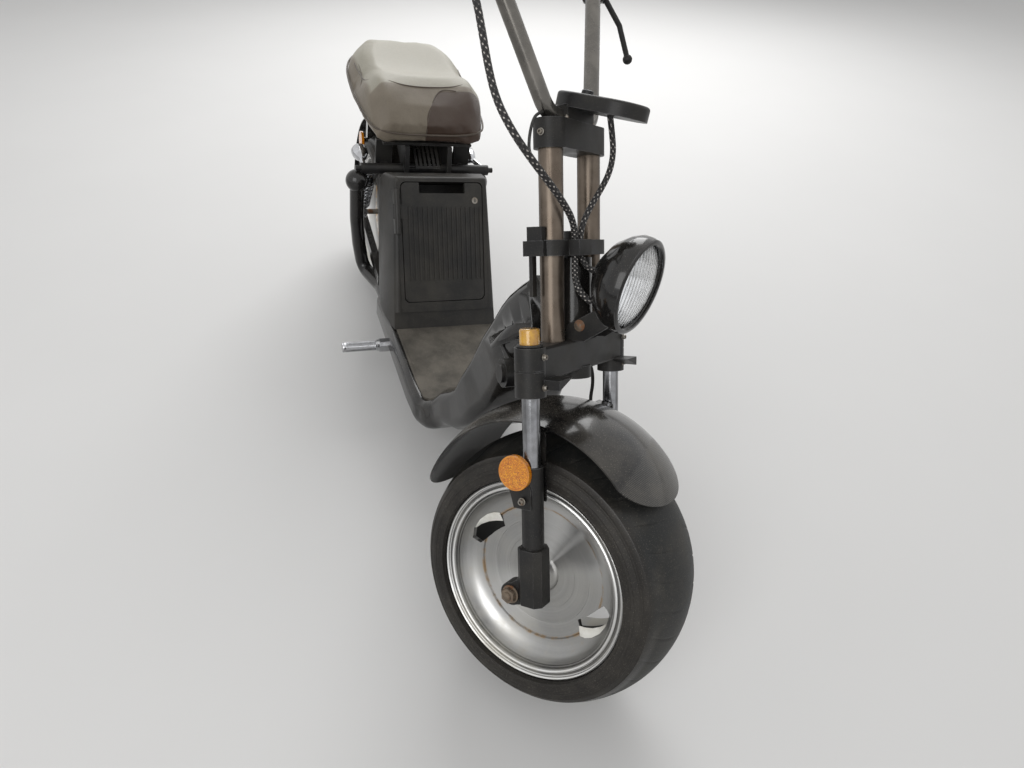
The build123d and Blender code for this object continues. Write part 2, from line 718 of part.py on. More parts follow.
def reflector_bracket():
    """The bracket that holds the left reflector on the slider."""
    outline = [(8, 226), (32, 226), (46, 180), (46, 150), (14, 150), (6, 180)]
    plate = slab(outline, REFLECTOR_Y - REFLECTOR_T / 2 - BRACKET_T, REFLECTOR_Y - REFLECTOR_T / 2)
    return plate - rod((STEM_X, LEG_Y, 0), (STEM_X, LEG_Y, SLIDER_TOP), SLIDER_R)


# Frame


def neck_bar():
    """The flat bar welded along the neck's right side, which carries the loom."""
    low, high = Vector(FRONT_X - 345, 0, 470), Vector(FRONT_X - 240, 0, 572)
    run = (high - low).normalized()
    across = Vector(-run.Z, 0, run.X) * 11
    corners = [low + across, low - across, high - across, high + across]
    return slab([(corner.X, corner.Z) for corner in corners], -70, -40)


def frame_sections():
    """Main stations of the cradle: (x, z, slope, half width, depth), from the deck's end to the head tube."""
    mid_r = BEND_TOP_R + DECK_DEPTH / 2
    mid_z = DECK_TOP - DECK_DEPTH / 2

    def bend(slope):
        turn = math.radians(slope)
        return BEND_X + mid_r * math.sin(turn), mid_z + mid_r * (1 - math.cos(turn))

    return [
        (DECK_REAR_X, mid_z, 0, DECK_HALF, DECK_DEPTH),
        (BEND_X - 60, mid_z, 0, DECK_HALF, DECK_DEPTH),
        (*bend(0), 0, DECK_HALF - 3, DECK_DEPTH),
        (*bend(34), 34, 139, DECK_DEPTH + 2),
        (*bend(66), 66, 121, DECK_DEPTH + 8),
        (FRONT_X - 376.5, 293, 72, 104, 95),
        (FRONT_X - 333.5, 419, 79, 80, 122),
        (FRONT_X - 312.5, 520, 64, 56, 118),
        (FRONT_X - 259.5, 603, 44, 42, 108),
    ]


def between(a, b, share):
    """A station part of the way from one main station to the next, on a curve with both slopes."""
    reach = math.hypot(b[0] - a[0], b[1] - a[1])
    ends = [(math.cos(math.radians(row[2])) * reach, math.sin(math.radians(row[2])) * reach) for row in (a, b)]
    t, r = share, 1 - share
    hold_a, hold_b = r * r * (1 + 2 * t), t * t * (1 + 2 * r)
    x, z = (hold_a * a[n] + hold_b * b[n] + t * r * r * ends[0][n] - t * t * r * ends[1][n] for n in (0, 1))
    dx, dz = (
        6 * t * r * (b[n] - a[n]) + r * (1 - 3 * t) * ends[0][n] + t * (3 * t - 2) * ends[1][n] for n in (0, 1)
    )
    half, depth = (hold_a * a[n] + hold_b * b[n] for n in (3, 4))
    return x, z, math.degrees(math.atan2(dz, dx)), half, depth


def all_sections():
    """Every station of the cradle: the deck's two, then the bend and neck in short steps."""
    rows = frame_sections()
    stations = rows[:2]
    for a, b in zip(rows[1:], rows[2:]):
        stations += [between(a, b, n / NECK_STEPS) for n in range(1, NECK_STEPS + 1)]
    return stations


def station(x, z, slope):
    """The plane across the cradle at a station, its local Y pointing to the cradle's top face."""
    turn = math.radians(slope)
    return Plane(origin=(x, 0, z), x_dir=(0, 1, 0), z_dir=(math.cos(turn), 0, math.sin(turn)))


def main_frame():
    """The pressed cradle: deck, bend and neck, with the head tube and the swingarm's lugs."""
    faces = []
    for x, z, slope, half, depth in all_sections():
        faces.append(station(x, z, slope) * RectangleRounded(2 * half, depth, FRAME_EDGE_R))
    cradle = loft(faces, ruled=True)
    axis = fork_frame(0)
    head = axis * rod((STEM_X, 0, HEAD_Z0), (STEM_X, 0, HEAD_Z1), HEAD_R)
    swing = axis * rod((STEM_X, 0, YOKE_Z0), (STEM_X, 0, MID_CLAMP_Z1), NECK_SWING_R)
    bridge = axis * block((-80, STEM_X), (-BRIDGE_HALF, BRIDGE_HALF), (HEAD_Z0 + 12, HEAD_Z1 - 30))
    frame = cradle + neck_bar() - swing + bridge + head
    frame -= axis * rod((STEM_X, 0, HEAD_Z0 - 1), (STEM_X, 0, HEAD_Z1 + 1), STEM_R + RUN)
    rear = DECK_REAR_X
    lug = [(rear + 40, DECK_TOP - 8), (rear + 40, DECK_TOP - 52), (rear - 20, DECK_TOP - 52)]
    lug += [(PIVOT_X, PIVOT_Z - 22), (PIVOT_X - 24, PIVOT_Z), (PIVOT_X, PIVOT_Z + 24), (rear - 20, PIVOT_Z + 14)]
    lug += [(rear - 1, DECK_TOP - 8)]
    for y in (-LUG_Y - LUG_T, LUG_Y):
        frame += slab(lug, y, y + LUG_T)
    frame += stand_bracket()
    heel = rod((rear, DECK_HALF, 0), (rear, DECK_HALF, DECK_TOP + 1), DECK_CORNER_R)
    corner = block((rear - 1, rear + DECK_CORNER_R), (DECK_HALF - DECK_CORNER_R, DECK_HALF + 1), (60, DECK_TOP + 1))
    corner -= Pos(DECK_CORNER_R, -DECK_CORNER_R, 0) * heel
    frame -= both(corner)
    return frame - rod((PIVOT_X, -200, PIVOT_Z), (PIVOT_X, 200, PIVOT_Z), PIVOT_R)


def deck_mat():
    """The rubber mat on the deck, up the back of the neck as far as its shoulder."""
    faces = []
    for x, z, s, half, depth in all_sections()[: -2 * NECK_STEPS]:
        face = station(x, z, s) * Pos(0, depth / 2 + MAT_T / 2) * Rectangle(2 * (half - MAT_EDGE), MAT_T)
        faces.append(face)
    return loft(faces, ruled=True)


# Rear end

SHOCK_LOW = (REAR_X + 59.5, SHOCK_Y, TYRE_R + 11.5)
SHOCK_HIGH = (CROSS_X - 50, SHOCK_Y, CROSS_Z - 28)
SHOCK_PARTS = [(14, 120, 12), (24, 30, 22), (190, 204, 22)]
LOOP_PATH = [
    (DECK_REAR_X, 118, 145),
    (DECK_REAR_X - 75, 118, 145),
    (DECK_REAR_X - 189, 150, 145),
    (DECK_REAR_X - 175, 167, 232),
    (CROSS_X - 23, 179, 320),
    (CROSS_X - 7, 184, CROSS_Z - DOME_R - 8),
]
LOOP_BENDS = [90, 32, 90, 200]
# How far each point of the left loop lies inboard of the right one's mirror image
LOOP_LEFT_IN = [0, 0, 0, 3, 21, 32]


def rear_loop(path):
    """A tube from the deck's end round and up to a dome under the cross tube's end."""
    return pipe(path, LOOP_R, LOOP_BENDS) + Pos(*path[-1]) * Sphere(DOME_R)


def rear_loops():
    """The right loop, and the left one, which stands nearer to the battery box."""
    left = [(x, y - inset, z) for (x, y, z), inset in zip(LOOP_PATH, LOOP_LEFT_IN)]
    return [rear_loop(left), mirror(rear_loop(LOOP_PATH), Plane.XZ)]


def swingarm():
    """The swingarm: a pivot tube and two flat arms that reach the rear axle outside the tyre."""
    h = ARM_HALF_H
    arm = [(PIVOT_X + 20, PIVOT_Z + h), (PIVOT_X + 20, PIVOT_Z - h), (REAR_X - 24, TYRE_R - h), (REAR_X - 24, TYRE_R + h)]
    side = slab(arm, ARM_Y - ARM_W / 2, ARM_Y + ARM_W / 2)
    tube = rod((PIVOT_X, -ARM_Y, PIVOT_Z), (PIVOT_X, ARM_Y, PIVOT_Z), PIVOT_R)
    shape = tube + side + mirror(side, Plane.XZ)
    return shape - Pos(REAR_X, 0, TYRE_R) * rod((0, -200, 0), (0, 200, 0), AXLE_R)


def rear_shock():
    """The left shock absorber: damper, rod, two spring plates and an eye at each end."""
    low, high = Vector(*SHOCK_LOW), Vector(*SHOCK_HIGH)
    along_shock = (high - low).normalized()
    shape = rod(low, high, 6)
    for start, end, radius in SHOCK_PARTS:
        shape += rod(low + along_shock * start, low + along_shock * end, radius)
    for end in (low, high):
        shape += rod((end.X, end.Y - SHOCK_EYE, end.Z), (end.X, end.Y + SHOCK_EYE, end.Z), 13)
    return shape


def rear_subframe(loops):
    """The cross tube with its end studs, the two plates and two posts that carry the saddle, and a ramp plate."""
    tube = rod((CROSS_X, -CROSS_HALF, CROSS_Z), (CROSS_X, CROSS_HALF, CROSS_Z), CROSS_R)
    tube += rod((CROSS_X, -CROSS_HALF - 14, CROSS_Z), (CROSS_X, CROSS_HALF + 14, CROSS_Z), CROSS_R / 2)
    top = SEAT_BASE_Z - 6
    for y in (-132, 84):
        tube += block((CROSS_X - 44, CROSS_X - 30), (y, y + 44), (CROSS_Z - 6, top))
        tube += block((CROSS_X - 34, CROSS_X), (y + 12, y + 32), (CROSS_Z - 6, CROSS_Z + 6))
    side = [(CROSS_X - 26, CROSS_Z), (CROSS_X + 26, CROSS_Z), (CROSS_X + 12, top), (CROSS_X - 140, top)]
    for y in (-64, 52):
        tube += slab(side, y, y + 12)
    ramp = slab([(CROSS_X + 20, CROSS_Z + 6), (CROSS_X - 46, top - 12), (CROSS_X - 48, top - 8), (CROSS_X + 20, CROSS_Z + 10)], -32, 34)
    for n in range(5):
        y = -26 + n * 12
        ramp -= slab([(CROSS_X + 14, CROSS_Z), (CROSS_X - 40, top - 20), (CROSS_X - 40, top), (CROSS_X + 14, CROSS_Z + 24)], y, y + 6)
    tube += ramp + block((CROSS_X - 4, CROSS_X + 20), (-52, 54), (CROSS_Z + 5, CROSS_Z + 10))
    lug = [(CROSS_X, CROSS_Z - 13), (CROSS_X, CROSS_Z + 13), (CROSS_X - 65, CROSS_Z - 12)]
    lug += [(CROSS_X - 65, CROSS_Z - 44), (CROSS_X - 35, CROSS_Z - 44)]
    face = SHOCK_Y - SHOCK_EYE
    for y in (face - 8, -face):
        tube += slab(lug, y, y + 8)
    return tube - loops


def seat_base():
    """The pan under the saddle."""
    return block((SEAT_REAR_X + 60, SEAT_FRONT_X - 12), (-120, 120), (SEAT_BASE_Z - 6, SEAT_BASE_Z))


# Saddle, from its front edge back: distance, rise of the sole, half width, widest height, height, middle's dip
SEAT_ROWS = [
    (0, 0, 150, 12, 34, 1),
    (-30, 0, 158, 24, 84, 2),
    (-64, 0, 163, 26, 124, 3),
    (-100, 0, 167, 30, 136, 5),
    (-170, 0, 170, 40, 130, 10),
    (-260, 2, 171, 56, 132, 12),
    (-340, 10, 166, 72, 146, 8),
    (-400, 26, 146, 86, 152, 4),
    (-438, 52, 112, 96, 140, 2),
]


def seat_outline(half, bulge, height, dip):
    """The saddle across its length: a flat sole, full sides and a top that dips in its middle."""
    size = min(1.0, height / 120)
    right = [(half - 30, 0), (half, bulge), (half - 8, height - 38 * size), (half - 46 * size, height)]
    left = [(-y, z) for y, z in reversed(right)]
    top = ThreePointArc(right[-1], (0, height - dip), left[0])
    face = make_face([Polyline(*right), top, Polyline(*left), Line(left[-1], right[0])])
    for corner, radius in ((1, 10 * size), (2, 16 * size), (3, 22 * size)):
        spots = [Vector(*right[corner]), Vector(*left[3 - corner])]
        face = fillet([v for v in face.vertices() if min((v.center() - spot).length for spot in spots) < 0.1], radius)
    return face


def seat_cushion():
    """The saddle's padding: a broad front edge, a rise to its ridge, a dished seat and a kick at the back."""
    faces = []
    for distance, rise, half, widest, height, dip in SEAT_ROWS:
        seat = (SEAT_FRONT_X + distance, 0, SEAT_BASE_Z + GAP + rise)
        plane = Plane(seat, x_dir=(0, 1, 0), z_dir=(1, 0, 0))
        faces.append(plane * seat_outline(half, widest - rise, height - rise, dip))
    return loft(faces)


def case_line(distance):
    """A point on the battery box's front line, at a distance up from the deck, as (x, z)."""
    dx, dz = CASE_TOP_X - CASE_FRONT_X, CASE_TOP_Z - DECK_TOP
    length = math.hypot(dx, dz)
    return CASE_FRONT_X + dx / length * distance, DECK_TOP + dz / length * distance


def case_frame(distance):
    """The frame on the box's front face: X out of the face, Z up along it."""
    lean = math.degrees(math.atan2(CASE_FRONT_X - CASE_TOP_X, CASE_TOP_Z - DECK_TOP))
    x, z = case_line(distance)
    return Pos(x, 0, z) * Rot(0, -lean, 0)


def case_outline(half):
    """The box's outline across its leaning axis: flat front, bulged sides and rounded front corners."""
    side = [(0, half), (-CASE_DEPTH / 2, half + CASE_BULGE), (-CASE_DEPTH, half + CASE_BULGE / 2)]
    face = make_face(
        [
            Line((0, -half), (0, half)),
            ThreePointArc(*side),
            Line(side[-1], (side[-1][0], -side[-1][1])),
            ThreePointArc(*((x, -y) for x, y in reversed(side))),
        ]
    )
    return fillet(face.vertices().group_by(Axis.X)[-1], CASE_EDGE_R)


def case_shell():
    """The outside of the battery box on the deck's mat."""
    high = math.hypot(CASE_TOP_X - CASE_FRONT_X, CASE_TOP_Z - DECK_TOP)
    spread = (CASE_LOW_HALF - CASE_TOP_HALF) / high
    outlines = [Pos(0, 0, d) * case_outline(CASE_LOW_HALF - spread * d) for d in (-80, high + 60)]
    tower = case_frame(0) * loft(outlines, ruled=True)
    floor = DECK_TOP + MAT_T
    profile = [
        (CASE_FRONT_X + 60, floor),
        (CASE_FRONT_X + 60, CASE_TOP_Z + 30),
        (CASE_TOP_X, CASE_TOP_Z),
        (CASE_TOP_X - 62, CASE_TOP_Z - 16),
        (CASE_TOP_X - 120, CASE_TOP_Z - 66),
        (CASE_TOP_X - 122, 310),
        (CASE_TOP_X - 44, 226),
        (CASE_TOP_X + 40, floor),
    ]
    shell = tower & slab(profile, -220, 220)
    rim = [e for e in shell.edges() if e.bounding_box().min.Z > CASE_TOP_Z - 20]
    return fillet(rim, CASE_EDGE_R * 0.7)


def face_plate(low, high, half, x0, x1, radius):
    """A rounded plate on the box's front face, between two depths from the face."""
    plate = block((x0, x1), (-half, half), (low, high))
    return fillet(plate.edges().filter_by(Axis.X), radius)


def barrel_pin(d0, d1, radius):
    """A round length of the door's hinge, between two distances up the face."""
    return rod((HINGE_X, HINGE_Y, d0), (HINGE_X, HINGE_Y, d1), radius)


def battery_case():
    """The battery box: a leaning shell with a bezel round its open bay, a plinth and two hinge knuckles."""
    shell = case_shell()
    front = case_frame(0)
    edge = DOOR_HALF + BEZEL_SIDE
    shell += front * face_plate(PLINTH_H, DOOR_HIGH + BEZEL_SIDE / 2, edge, -BEZEL_T, BEZEL_T, BEZEL_R / 2)
    shell -= front * block((-PLINTH_STEP, 60), (-200, 200), (-80, PLINTH_H))
    for low, high in ((HINGE_LOW, HINGE_LOW + KNUCKLE), (HINGE_HIGH - KNUCKLE, HINGE_HIGH)):
        arm = block((-CASE_EDGE_R, HINGE_X), (HINGE_Y - HINGE_R, HINGE_Y + 2), (low, high))
        shell += front * (arm + barrel_pin(low, high, HINGE_R))
    shell -= front * barrel_pin(HINGE_LOW - 1, HINGE_HIGH + 1, HINGE_R / 2 + RUN)
    bay = block((-PACK_DEPTH - 16, 20), (-DOOR_HALF, DOOR_HALF), (DOOR_LOW, DOOR_HIGH))
    bay = fillet(bay.edges().filter_by(Axis.X), DOOR_R)
    floor = DECK_TOP + MAT_T + CASE_WALL
    return shell - (front * bay & block((-700, 200), (-200, 200), (floor, 900)))


def battery_pack():
    """The battery, as one plain block in its bay."""
    half = DOOR_HALF - 4
    whole = block((-PACK_DEPTH - 16, -DOOR_T - 6), (-half, half), (DOOR_LOW, PACK_TOP))
    whole = case_frame(0) * fillet(whole.edges().filter_by(Axis.X), DOOR_R)
    return whole & block((-700, 200), (-200, 200), (DECK_TOP + MAT_T + CASE_WALL, 900))


def battery_door():
    """The ribbed door of the bay, with a grip notch in its top edge and a hinge leaf on its right."""
    half = DOOR_HALF - DOOR_GAP
    door = face_plate(DOOR_LOW + DOOR_GAP, DOOR_HIGH - DOOR_GAP, half, -DOOR_T, BEZEL_T - 0.5, DOOR_R)
    pitch = 2 * RIB_HALF / (RIB_COUNT - 1)
    top = BEZEL_T + RIB_T
    for n in range(RIB_COUNT):
        y = RIB_Y - RIB_HALF + n * pitch
        door += block((0, top), (y - RIB_W / 2, y + RIB_W / 2), (RIB_LOW, RIB_HIGH))
    door -= block((-60, 60), (-LATCH_HALF, LATCH_HALF), (LATCH_LOW, DOOR_HIGH + 10))
    door -= rod((-40, LOCK_Y, LOCK_D), (40, LOCK_Y, LOCK_D), LOCK_R + RUN)
    low, high = HINGE_LOW + KNUCKLE + GAP, HINGE_HIGH - KNUCKLE - GAP
    leaf = block((BEZEL_T + GAP, BEZEL_T + GAP + 3), (HINGE_Y, -DOOR_HALF + 16), (low, high))
    foot = block((0, BEZEL_T + GAP + 3), (-DOOR_HALF + 5, -DOOR_HALF + 16), (low, high))
    door += leaf + foot + barrel_pin(low, high, HINGE_R)
    door += barrel_pin(HINGE_LOW, HINGE_HIGH, HINGE_R / 2)
    return case_frame(0) * door


def door_lock():
    """The round lock in the door's upper left corner."""
    key_slot = block((BEZEL_T + 1, BEZEL_T + 9), (LOCK_Y - 4, LOCK_Y + 4), (LOCK_D - 1, LOCK_D + 1))
    barrel_shape = rod((-14, LOCK_Y, LOCK_D), (BEZEL_T + 2, LOCK_Y, LOCK_D), LOCK_R)
    return case_frame(0) * (barrel_shape - key_slot)


def rear_mudguard():
    """A crowned strip over the rear tyre, hung from the saddle's pan."""
    face = Pos(0, REAR_GUARD_R) * Rectangle(2 * 104, REAR_GUARD_T)
    arc = revolve(Plane.YZ * face, Axis.Y, 150)
    guard = Pos(REAR_X, 0, TYRE_R) * Rot(0, -110, 0) * arc
    hanger = block((REAR_X - 30, REAR_X + 30), (-40, 40), (TYRE_R + REAR_GUARD_R, SEAT_BASE_Z - 6))
    return guard + hanger


def tail_lamp():
    """The tail lamp on the back of the rear mudguard."""
    low = PLATE_FACE[0][1]
    lamp = block((REAR_X - 280, REAR_X - 235), (-45, 45), (low, low + 38))
    lamp = fillet(lamp.edges().filter_by(Axis.X).group_by(Axis.Z)[-1], 12)
    return lamp - rod((REAR_X, -60, TYRE_R), (REAR_X, 60, TYRE_R), REAR_GUARD_R + REAR_GUARD_T / 2)


def plate_holder():
    """The blank number plate, hung from the tail lamp."""
    front = [(x + 6, z) for x, z in reversed(PLATE_FACE)]
    return slab([*PLATE_FACE, *front], -90, 90)


def indicator(y, cross):
    """A bullet indicator on its stalk from the cross tube, nose ahead and lens behind."""
    nose = (CROSS_X - 45, y, CROSS_Z + 8)
    profile = [(2, 0), (0, 6), (-14, 15), (-34, 21), (-50, 22), (-50, 0)]
    bullet = Pos(*nose) * revolve(make_face(Polyline(*profile, close=True)), Axis.X)
    root = (CROSS_X, math.copysign(CROSS_HALF - 8, y), CROSS_Z)
    return bullet + rod(root, (nose[0] - 24, y, nose[2]), 7) - cross


def rear_reflector(guard):
    """The left amber reflector under the rear mudguard's edge, on a strap that hooks over the guard."""
    x, top = REAR_X - 20, TYRE_R + REAR_GUARD_R
    strap = block((x - 12, x + 12), (112, 115), (REFLECTOR_Z, top + 4))
    strap += block((x - 12, x + 12), (88, 115), (top, top + 4))
    disc = rod((x, 126, REFLECTOR_Z), (x, 126 + REFLECTOR_T, REFLECTOR_Z), REFLECTOR_R - 4)
    return disc + rod((x, 113, REFLECTOR_Z), (x, 127, REFLECTOR_Z), 7) + strap - guard


def footpeg():
    """The left knurled peg on its clamp, and the clamp's bolt."""
    root, tip = DECK_HALF, 272.0
    peg = rod((PEG_X, root + 20, PEG_Z), (PEG_X, tip, PEG_Z), 12)
    clamp_block = block((PEG_X - 15, PEG_X + 15), (root, root + 26), (PEG_Z - 16, PEG_Z + 15))
    clamp_block = chamfer(clamp_block.edges().filter_by(Axis.Y), 7)
    collar = rod((PEG_X, root + 20, PEG_Z), (PEG_X, root + 33, PEG_Z), 14.5)
    return clamp_block + collar + peg


def horn(frame):
    """The disc horn on its flat bracket, on the neck's right side."""
    hub = (FRONT_X - 235.5, -72, 482)
    disc = rod((hub[0], hub[1] - 11, hub[2]), (hub[0], hub[1] + 11, hub[2]), 26)
    disc += rod((hub[0], hub[1] - 17, hub[2]), (hub[0], hub[1] - 11, hub[2]), 17)
    strap = block((hub[0] - 82, hub[0]), (-62, -58), (hub[2] - 12, hub[2] + 12))
    return max((disc + strap - frame).solids(), key=lambda solid: solid.volume)


def cable_harness(housings):
    """The looms from the bar and the dash to the lamp, the switch's lead and the brake's hose."""
    shell = lamp_frame() * lamp_turned(lamp_bowl() + [(6, 0)])
    cords = []
    for points, radius in HARNESS:
        cord = hose(points, radius) - [shell, *housings]
        cords.append(max(cord.solids(), key=lambda solid: solid.volume))
    return cords


def stand_frame():
    """The stand's pivot frame: Z along the pin, up and out, and the leg in its XY plane."""
    return Plane(origin=(STAND_X, STAND_Y, STAND_Z), x_dir=(1, 0, 0), z_dir=stand_axis()).location


def stand_foot():
    """Where the leg's middle line ends, above the foot pad."""
    return FOOT_X, FOOT_Y, floor_z(FOOT_X, FOOT_Y) + STAND_R + 2


def stand_axis():
    """Direction of the stand's pin: square to the leg as seen from ahead."""
    x, y, z = stand_foot()
    return Vector(0, STAND_Z - z, y - STAND_Y).normalized()


def side_stand():
    """The side stand: an eye with its pin, a bar and a round pad flat on the floor."""
    frame = stand_frame()
    foot = stand_foot()
    leg = rod((STAND_X, STAND_Y, STAND_Z), foot, STAND_R) + Pos(*foot) * Sphere(STAND_R)
    eye = frame * Cylinder(STAND_EYE_R, STAND_EYE_T)
    pin = frame * Pos(0, 0, (STAND_EYE_T + STAND_PLATE) / 2) * Cylinder(STAND_PIN_R, STAND_PLATE)
    home = STANCE.inverse()
    up = (home * Pos(0, 0, 1)).position - home.position
    pad = Solid.make_cylinder(STAND_PAD_R, STAND_PAD_T, Plane((FOOT_X, FOOT_Y, floor_z(FOOT_X, FOOT_Y)), z_dir=up))
    return leg + eye + pin + pad


def stand_bracket():
    """The plate under the deck that the side stand's pin turns in."""
    frame = stand_frame()
    plate = frame * Pos(0, 0, (STAND_EYE_T + STAND_PLATE) / 2 + GAP) * Cylinder(STAND_EYE_R + 4, STAND_PLATE)
    deck_low = DECK_TOP - DECK_DEPTH
    web_shape = block((STAND_X - 16, STAND_X + 16), (STAND_Y - 24, STAND_Y), (deck_low - 4, deck_low + 2))
    return plate + web_shape - frame * Cylinder(STAND_PIN_R + RUN, 80)


# Build


def main():
    """Build every piece and write it."""
    front_wheel = FORK
    rear_wheel = Pos(REAR_X, 0, TYRE_R)
    put("front_tyre", tyre(), front_wheel)
    put("front_rim", front_rim(), front_wheel)
    put("front_disc", brake_disc(), front_wheel)
    put("rear_tyre", tyre(), rear_wheel)
    put("rear_rim", rear_rim(), rear_wheel)
    put("rear_disc", brake_disc(), rear_wheel)
    slider = rod((STEM_X, LEG_Y, 0), (STEM_X, LEG_Y, SLIDER_TOP), SLIDER_R + GAP)
    slider += rod((STEM_X, LEG_Y, 0), (STEM_X, LEG_Y, FOOT_Z + GAP), FOOT_R + GAP)
    put("front_caliper", caliper(CALIPER_FRONT, LEG_Y - 10) - slider, FORK)
    put("rear_caliper", caliper(CALIPER_REAR, ARM_Y - ARM_W / 2), rear_wheel)
    put("front_axle", axle(LEG_Y + LUG_W / 2), FORK)
    put("rear_axle", axle(ARM_Y + ARM_W / 2), rear_wheel)
    put("fork_legs", both(fork_leg() + reflector_bracket()), FORK)
    put("stanchions", both(stanchion()), FORK)
    put("lower_yoke", lower_yoke(), FORK)
    put("uprights", both(upright()), FORK)
    put("fork_clamps", [mid_clamp(), top_clamp()], FORK)
    bar = pipe(BAR_PATH, BAR_R, BAR_BENDS)
    put("handlebar", bar, FORK)
    put("grips", both(grip()), FORK)
    bore = pipe(BAR_PATH, BAR_R + GAP / 2, BAR_BENDS)
    levers = [side - bore for side in both(lever() + switch_box())]
    put("levers", levers, FORK)
    put("cable_harness", cable_harness([*levers, dash_plate(), lower_yoke()]), FORK)
    put("dash_plate", dash_plate(), FORK)
    put("headlamp_shell", headlamp_shell(), FORK * lamp_frame())
    put("headlamp_lens", headlamp_lens(), FORK * lamp_frame())
    put("front_mudguard", front_mudguard(), FORK)
    put("fork_caps", both(fork_cap()), FORK)
    put("fork_reflectors", both(fork_reflector()), FORK)
    frame = main_frame()
    put("main_frame", frame)
    put("deck_mat", deck_mat())
    loops = rear_loops()
    put("rear_loops", loops)
    put("swingarm", swingarm())
    put("rear_shocks", both(rear_shock()))
    put("rear_subframe", rear_subframe(loops))
    put("seat_base", seat_base())
    put("seat_cushion", seat_cushion())
    put("battery_case", battery_case())
    put("battery_pack", battery_pack())
    put("battery_door", battery_door())
    put("door_lock", door_lock())
    guard = rear_mudguard()
    put("rear_mudguard", guard)
    put("tail_lamp", tail_lamp())
    put("plate_holder", plate_holder())
    cross = rod((CROSS_X, -200, CROSS_Z), (CROSS_X, 200, CROSS_Z), CROSS_R)
    put("rear_indicators", [indicator(-164, [cross, *loops]), indicator(143, [cross, *loops])])
    put("rear_reflectors", both(rear_reflector(guard)))
    put("footpegs", both(footpeg()))
    put("horn", horn(frame))
    put("side_stand", side_stand())
    write_pieces()


main()
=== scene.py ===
"""Electric motor scooter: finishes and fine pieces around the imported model."""

import json
import logging
import math
from dataclasses import dataclass
from dataclasses import field
from enum import Enum
from typing import Any

import bmesh
import bpy
from mathutils import Euler
from mathutils import Matrix
from mathutils import Vector
from mathutils.bvhtree import BVHTree


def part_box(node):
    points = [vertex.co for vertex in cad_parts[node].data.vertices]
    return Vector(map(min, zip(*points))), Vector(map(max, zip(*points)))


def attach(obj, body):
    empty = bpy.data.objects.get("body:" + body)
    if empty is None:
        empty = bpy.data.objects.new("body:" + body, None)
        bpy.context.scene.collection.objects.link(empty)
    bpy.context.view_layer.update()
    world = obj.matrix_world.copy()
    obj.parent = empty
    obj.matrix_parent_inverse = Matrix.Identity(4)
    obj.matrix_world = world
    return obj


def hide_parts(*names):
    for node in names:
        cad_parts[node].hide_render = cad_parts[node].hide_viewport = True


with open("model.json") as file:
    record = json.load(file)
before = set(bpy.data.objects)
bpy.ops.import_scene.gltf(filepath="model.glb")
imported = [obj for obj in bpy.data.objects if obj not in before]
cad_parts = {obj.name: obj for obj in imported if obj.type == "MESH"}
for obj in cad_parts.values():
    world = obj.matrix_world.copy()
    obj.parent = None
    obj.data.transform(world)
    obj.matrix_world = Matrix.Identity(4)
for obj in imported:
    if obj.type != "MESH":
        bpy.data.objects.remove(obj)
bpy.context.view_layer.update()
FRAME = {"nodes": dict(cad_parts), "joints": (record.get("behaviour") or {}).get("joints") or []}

LOG = logging.getLogger("scooter")

Colour = tuple[float, float, float]
Spot = tuple[float, float, float]
Profile = list[tuple[float, float]]
Socket = Any

MM = 0.001
RAKE = math.radians(29.2)
REAR_HUB = (-687.5, 0.0, 238.5)
DUST_GREY: Colour = (0.30, 0.27, 0.225)
RUST_BROWN: Colour = (0.19, 0.075, 0.025)
BARE_STEEL: Colour = (0.42, 0.42, 0.43)
LEVEL = 0.1
MERGE = 0.00002


class Grain(Enum):
    """The fine relief that a finish has."""

    SMOOTH = "smooth"
    PEEL = "orange peel"
    CAST = "cast"
    STIPPLE = "moulded stipple"
    BRUSHED = "brushed along"
    TURNED = "turned on a lathe"
    LEATHER = "leather"


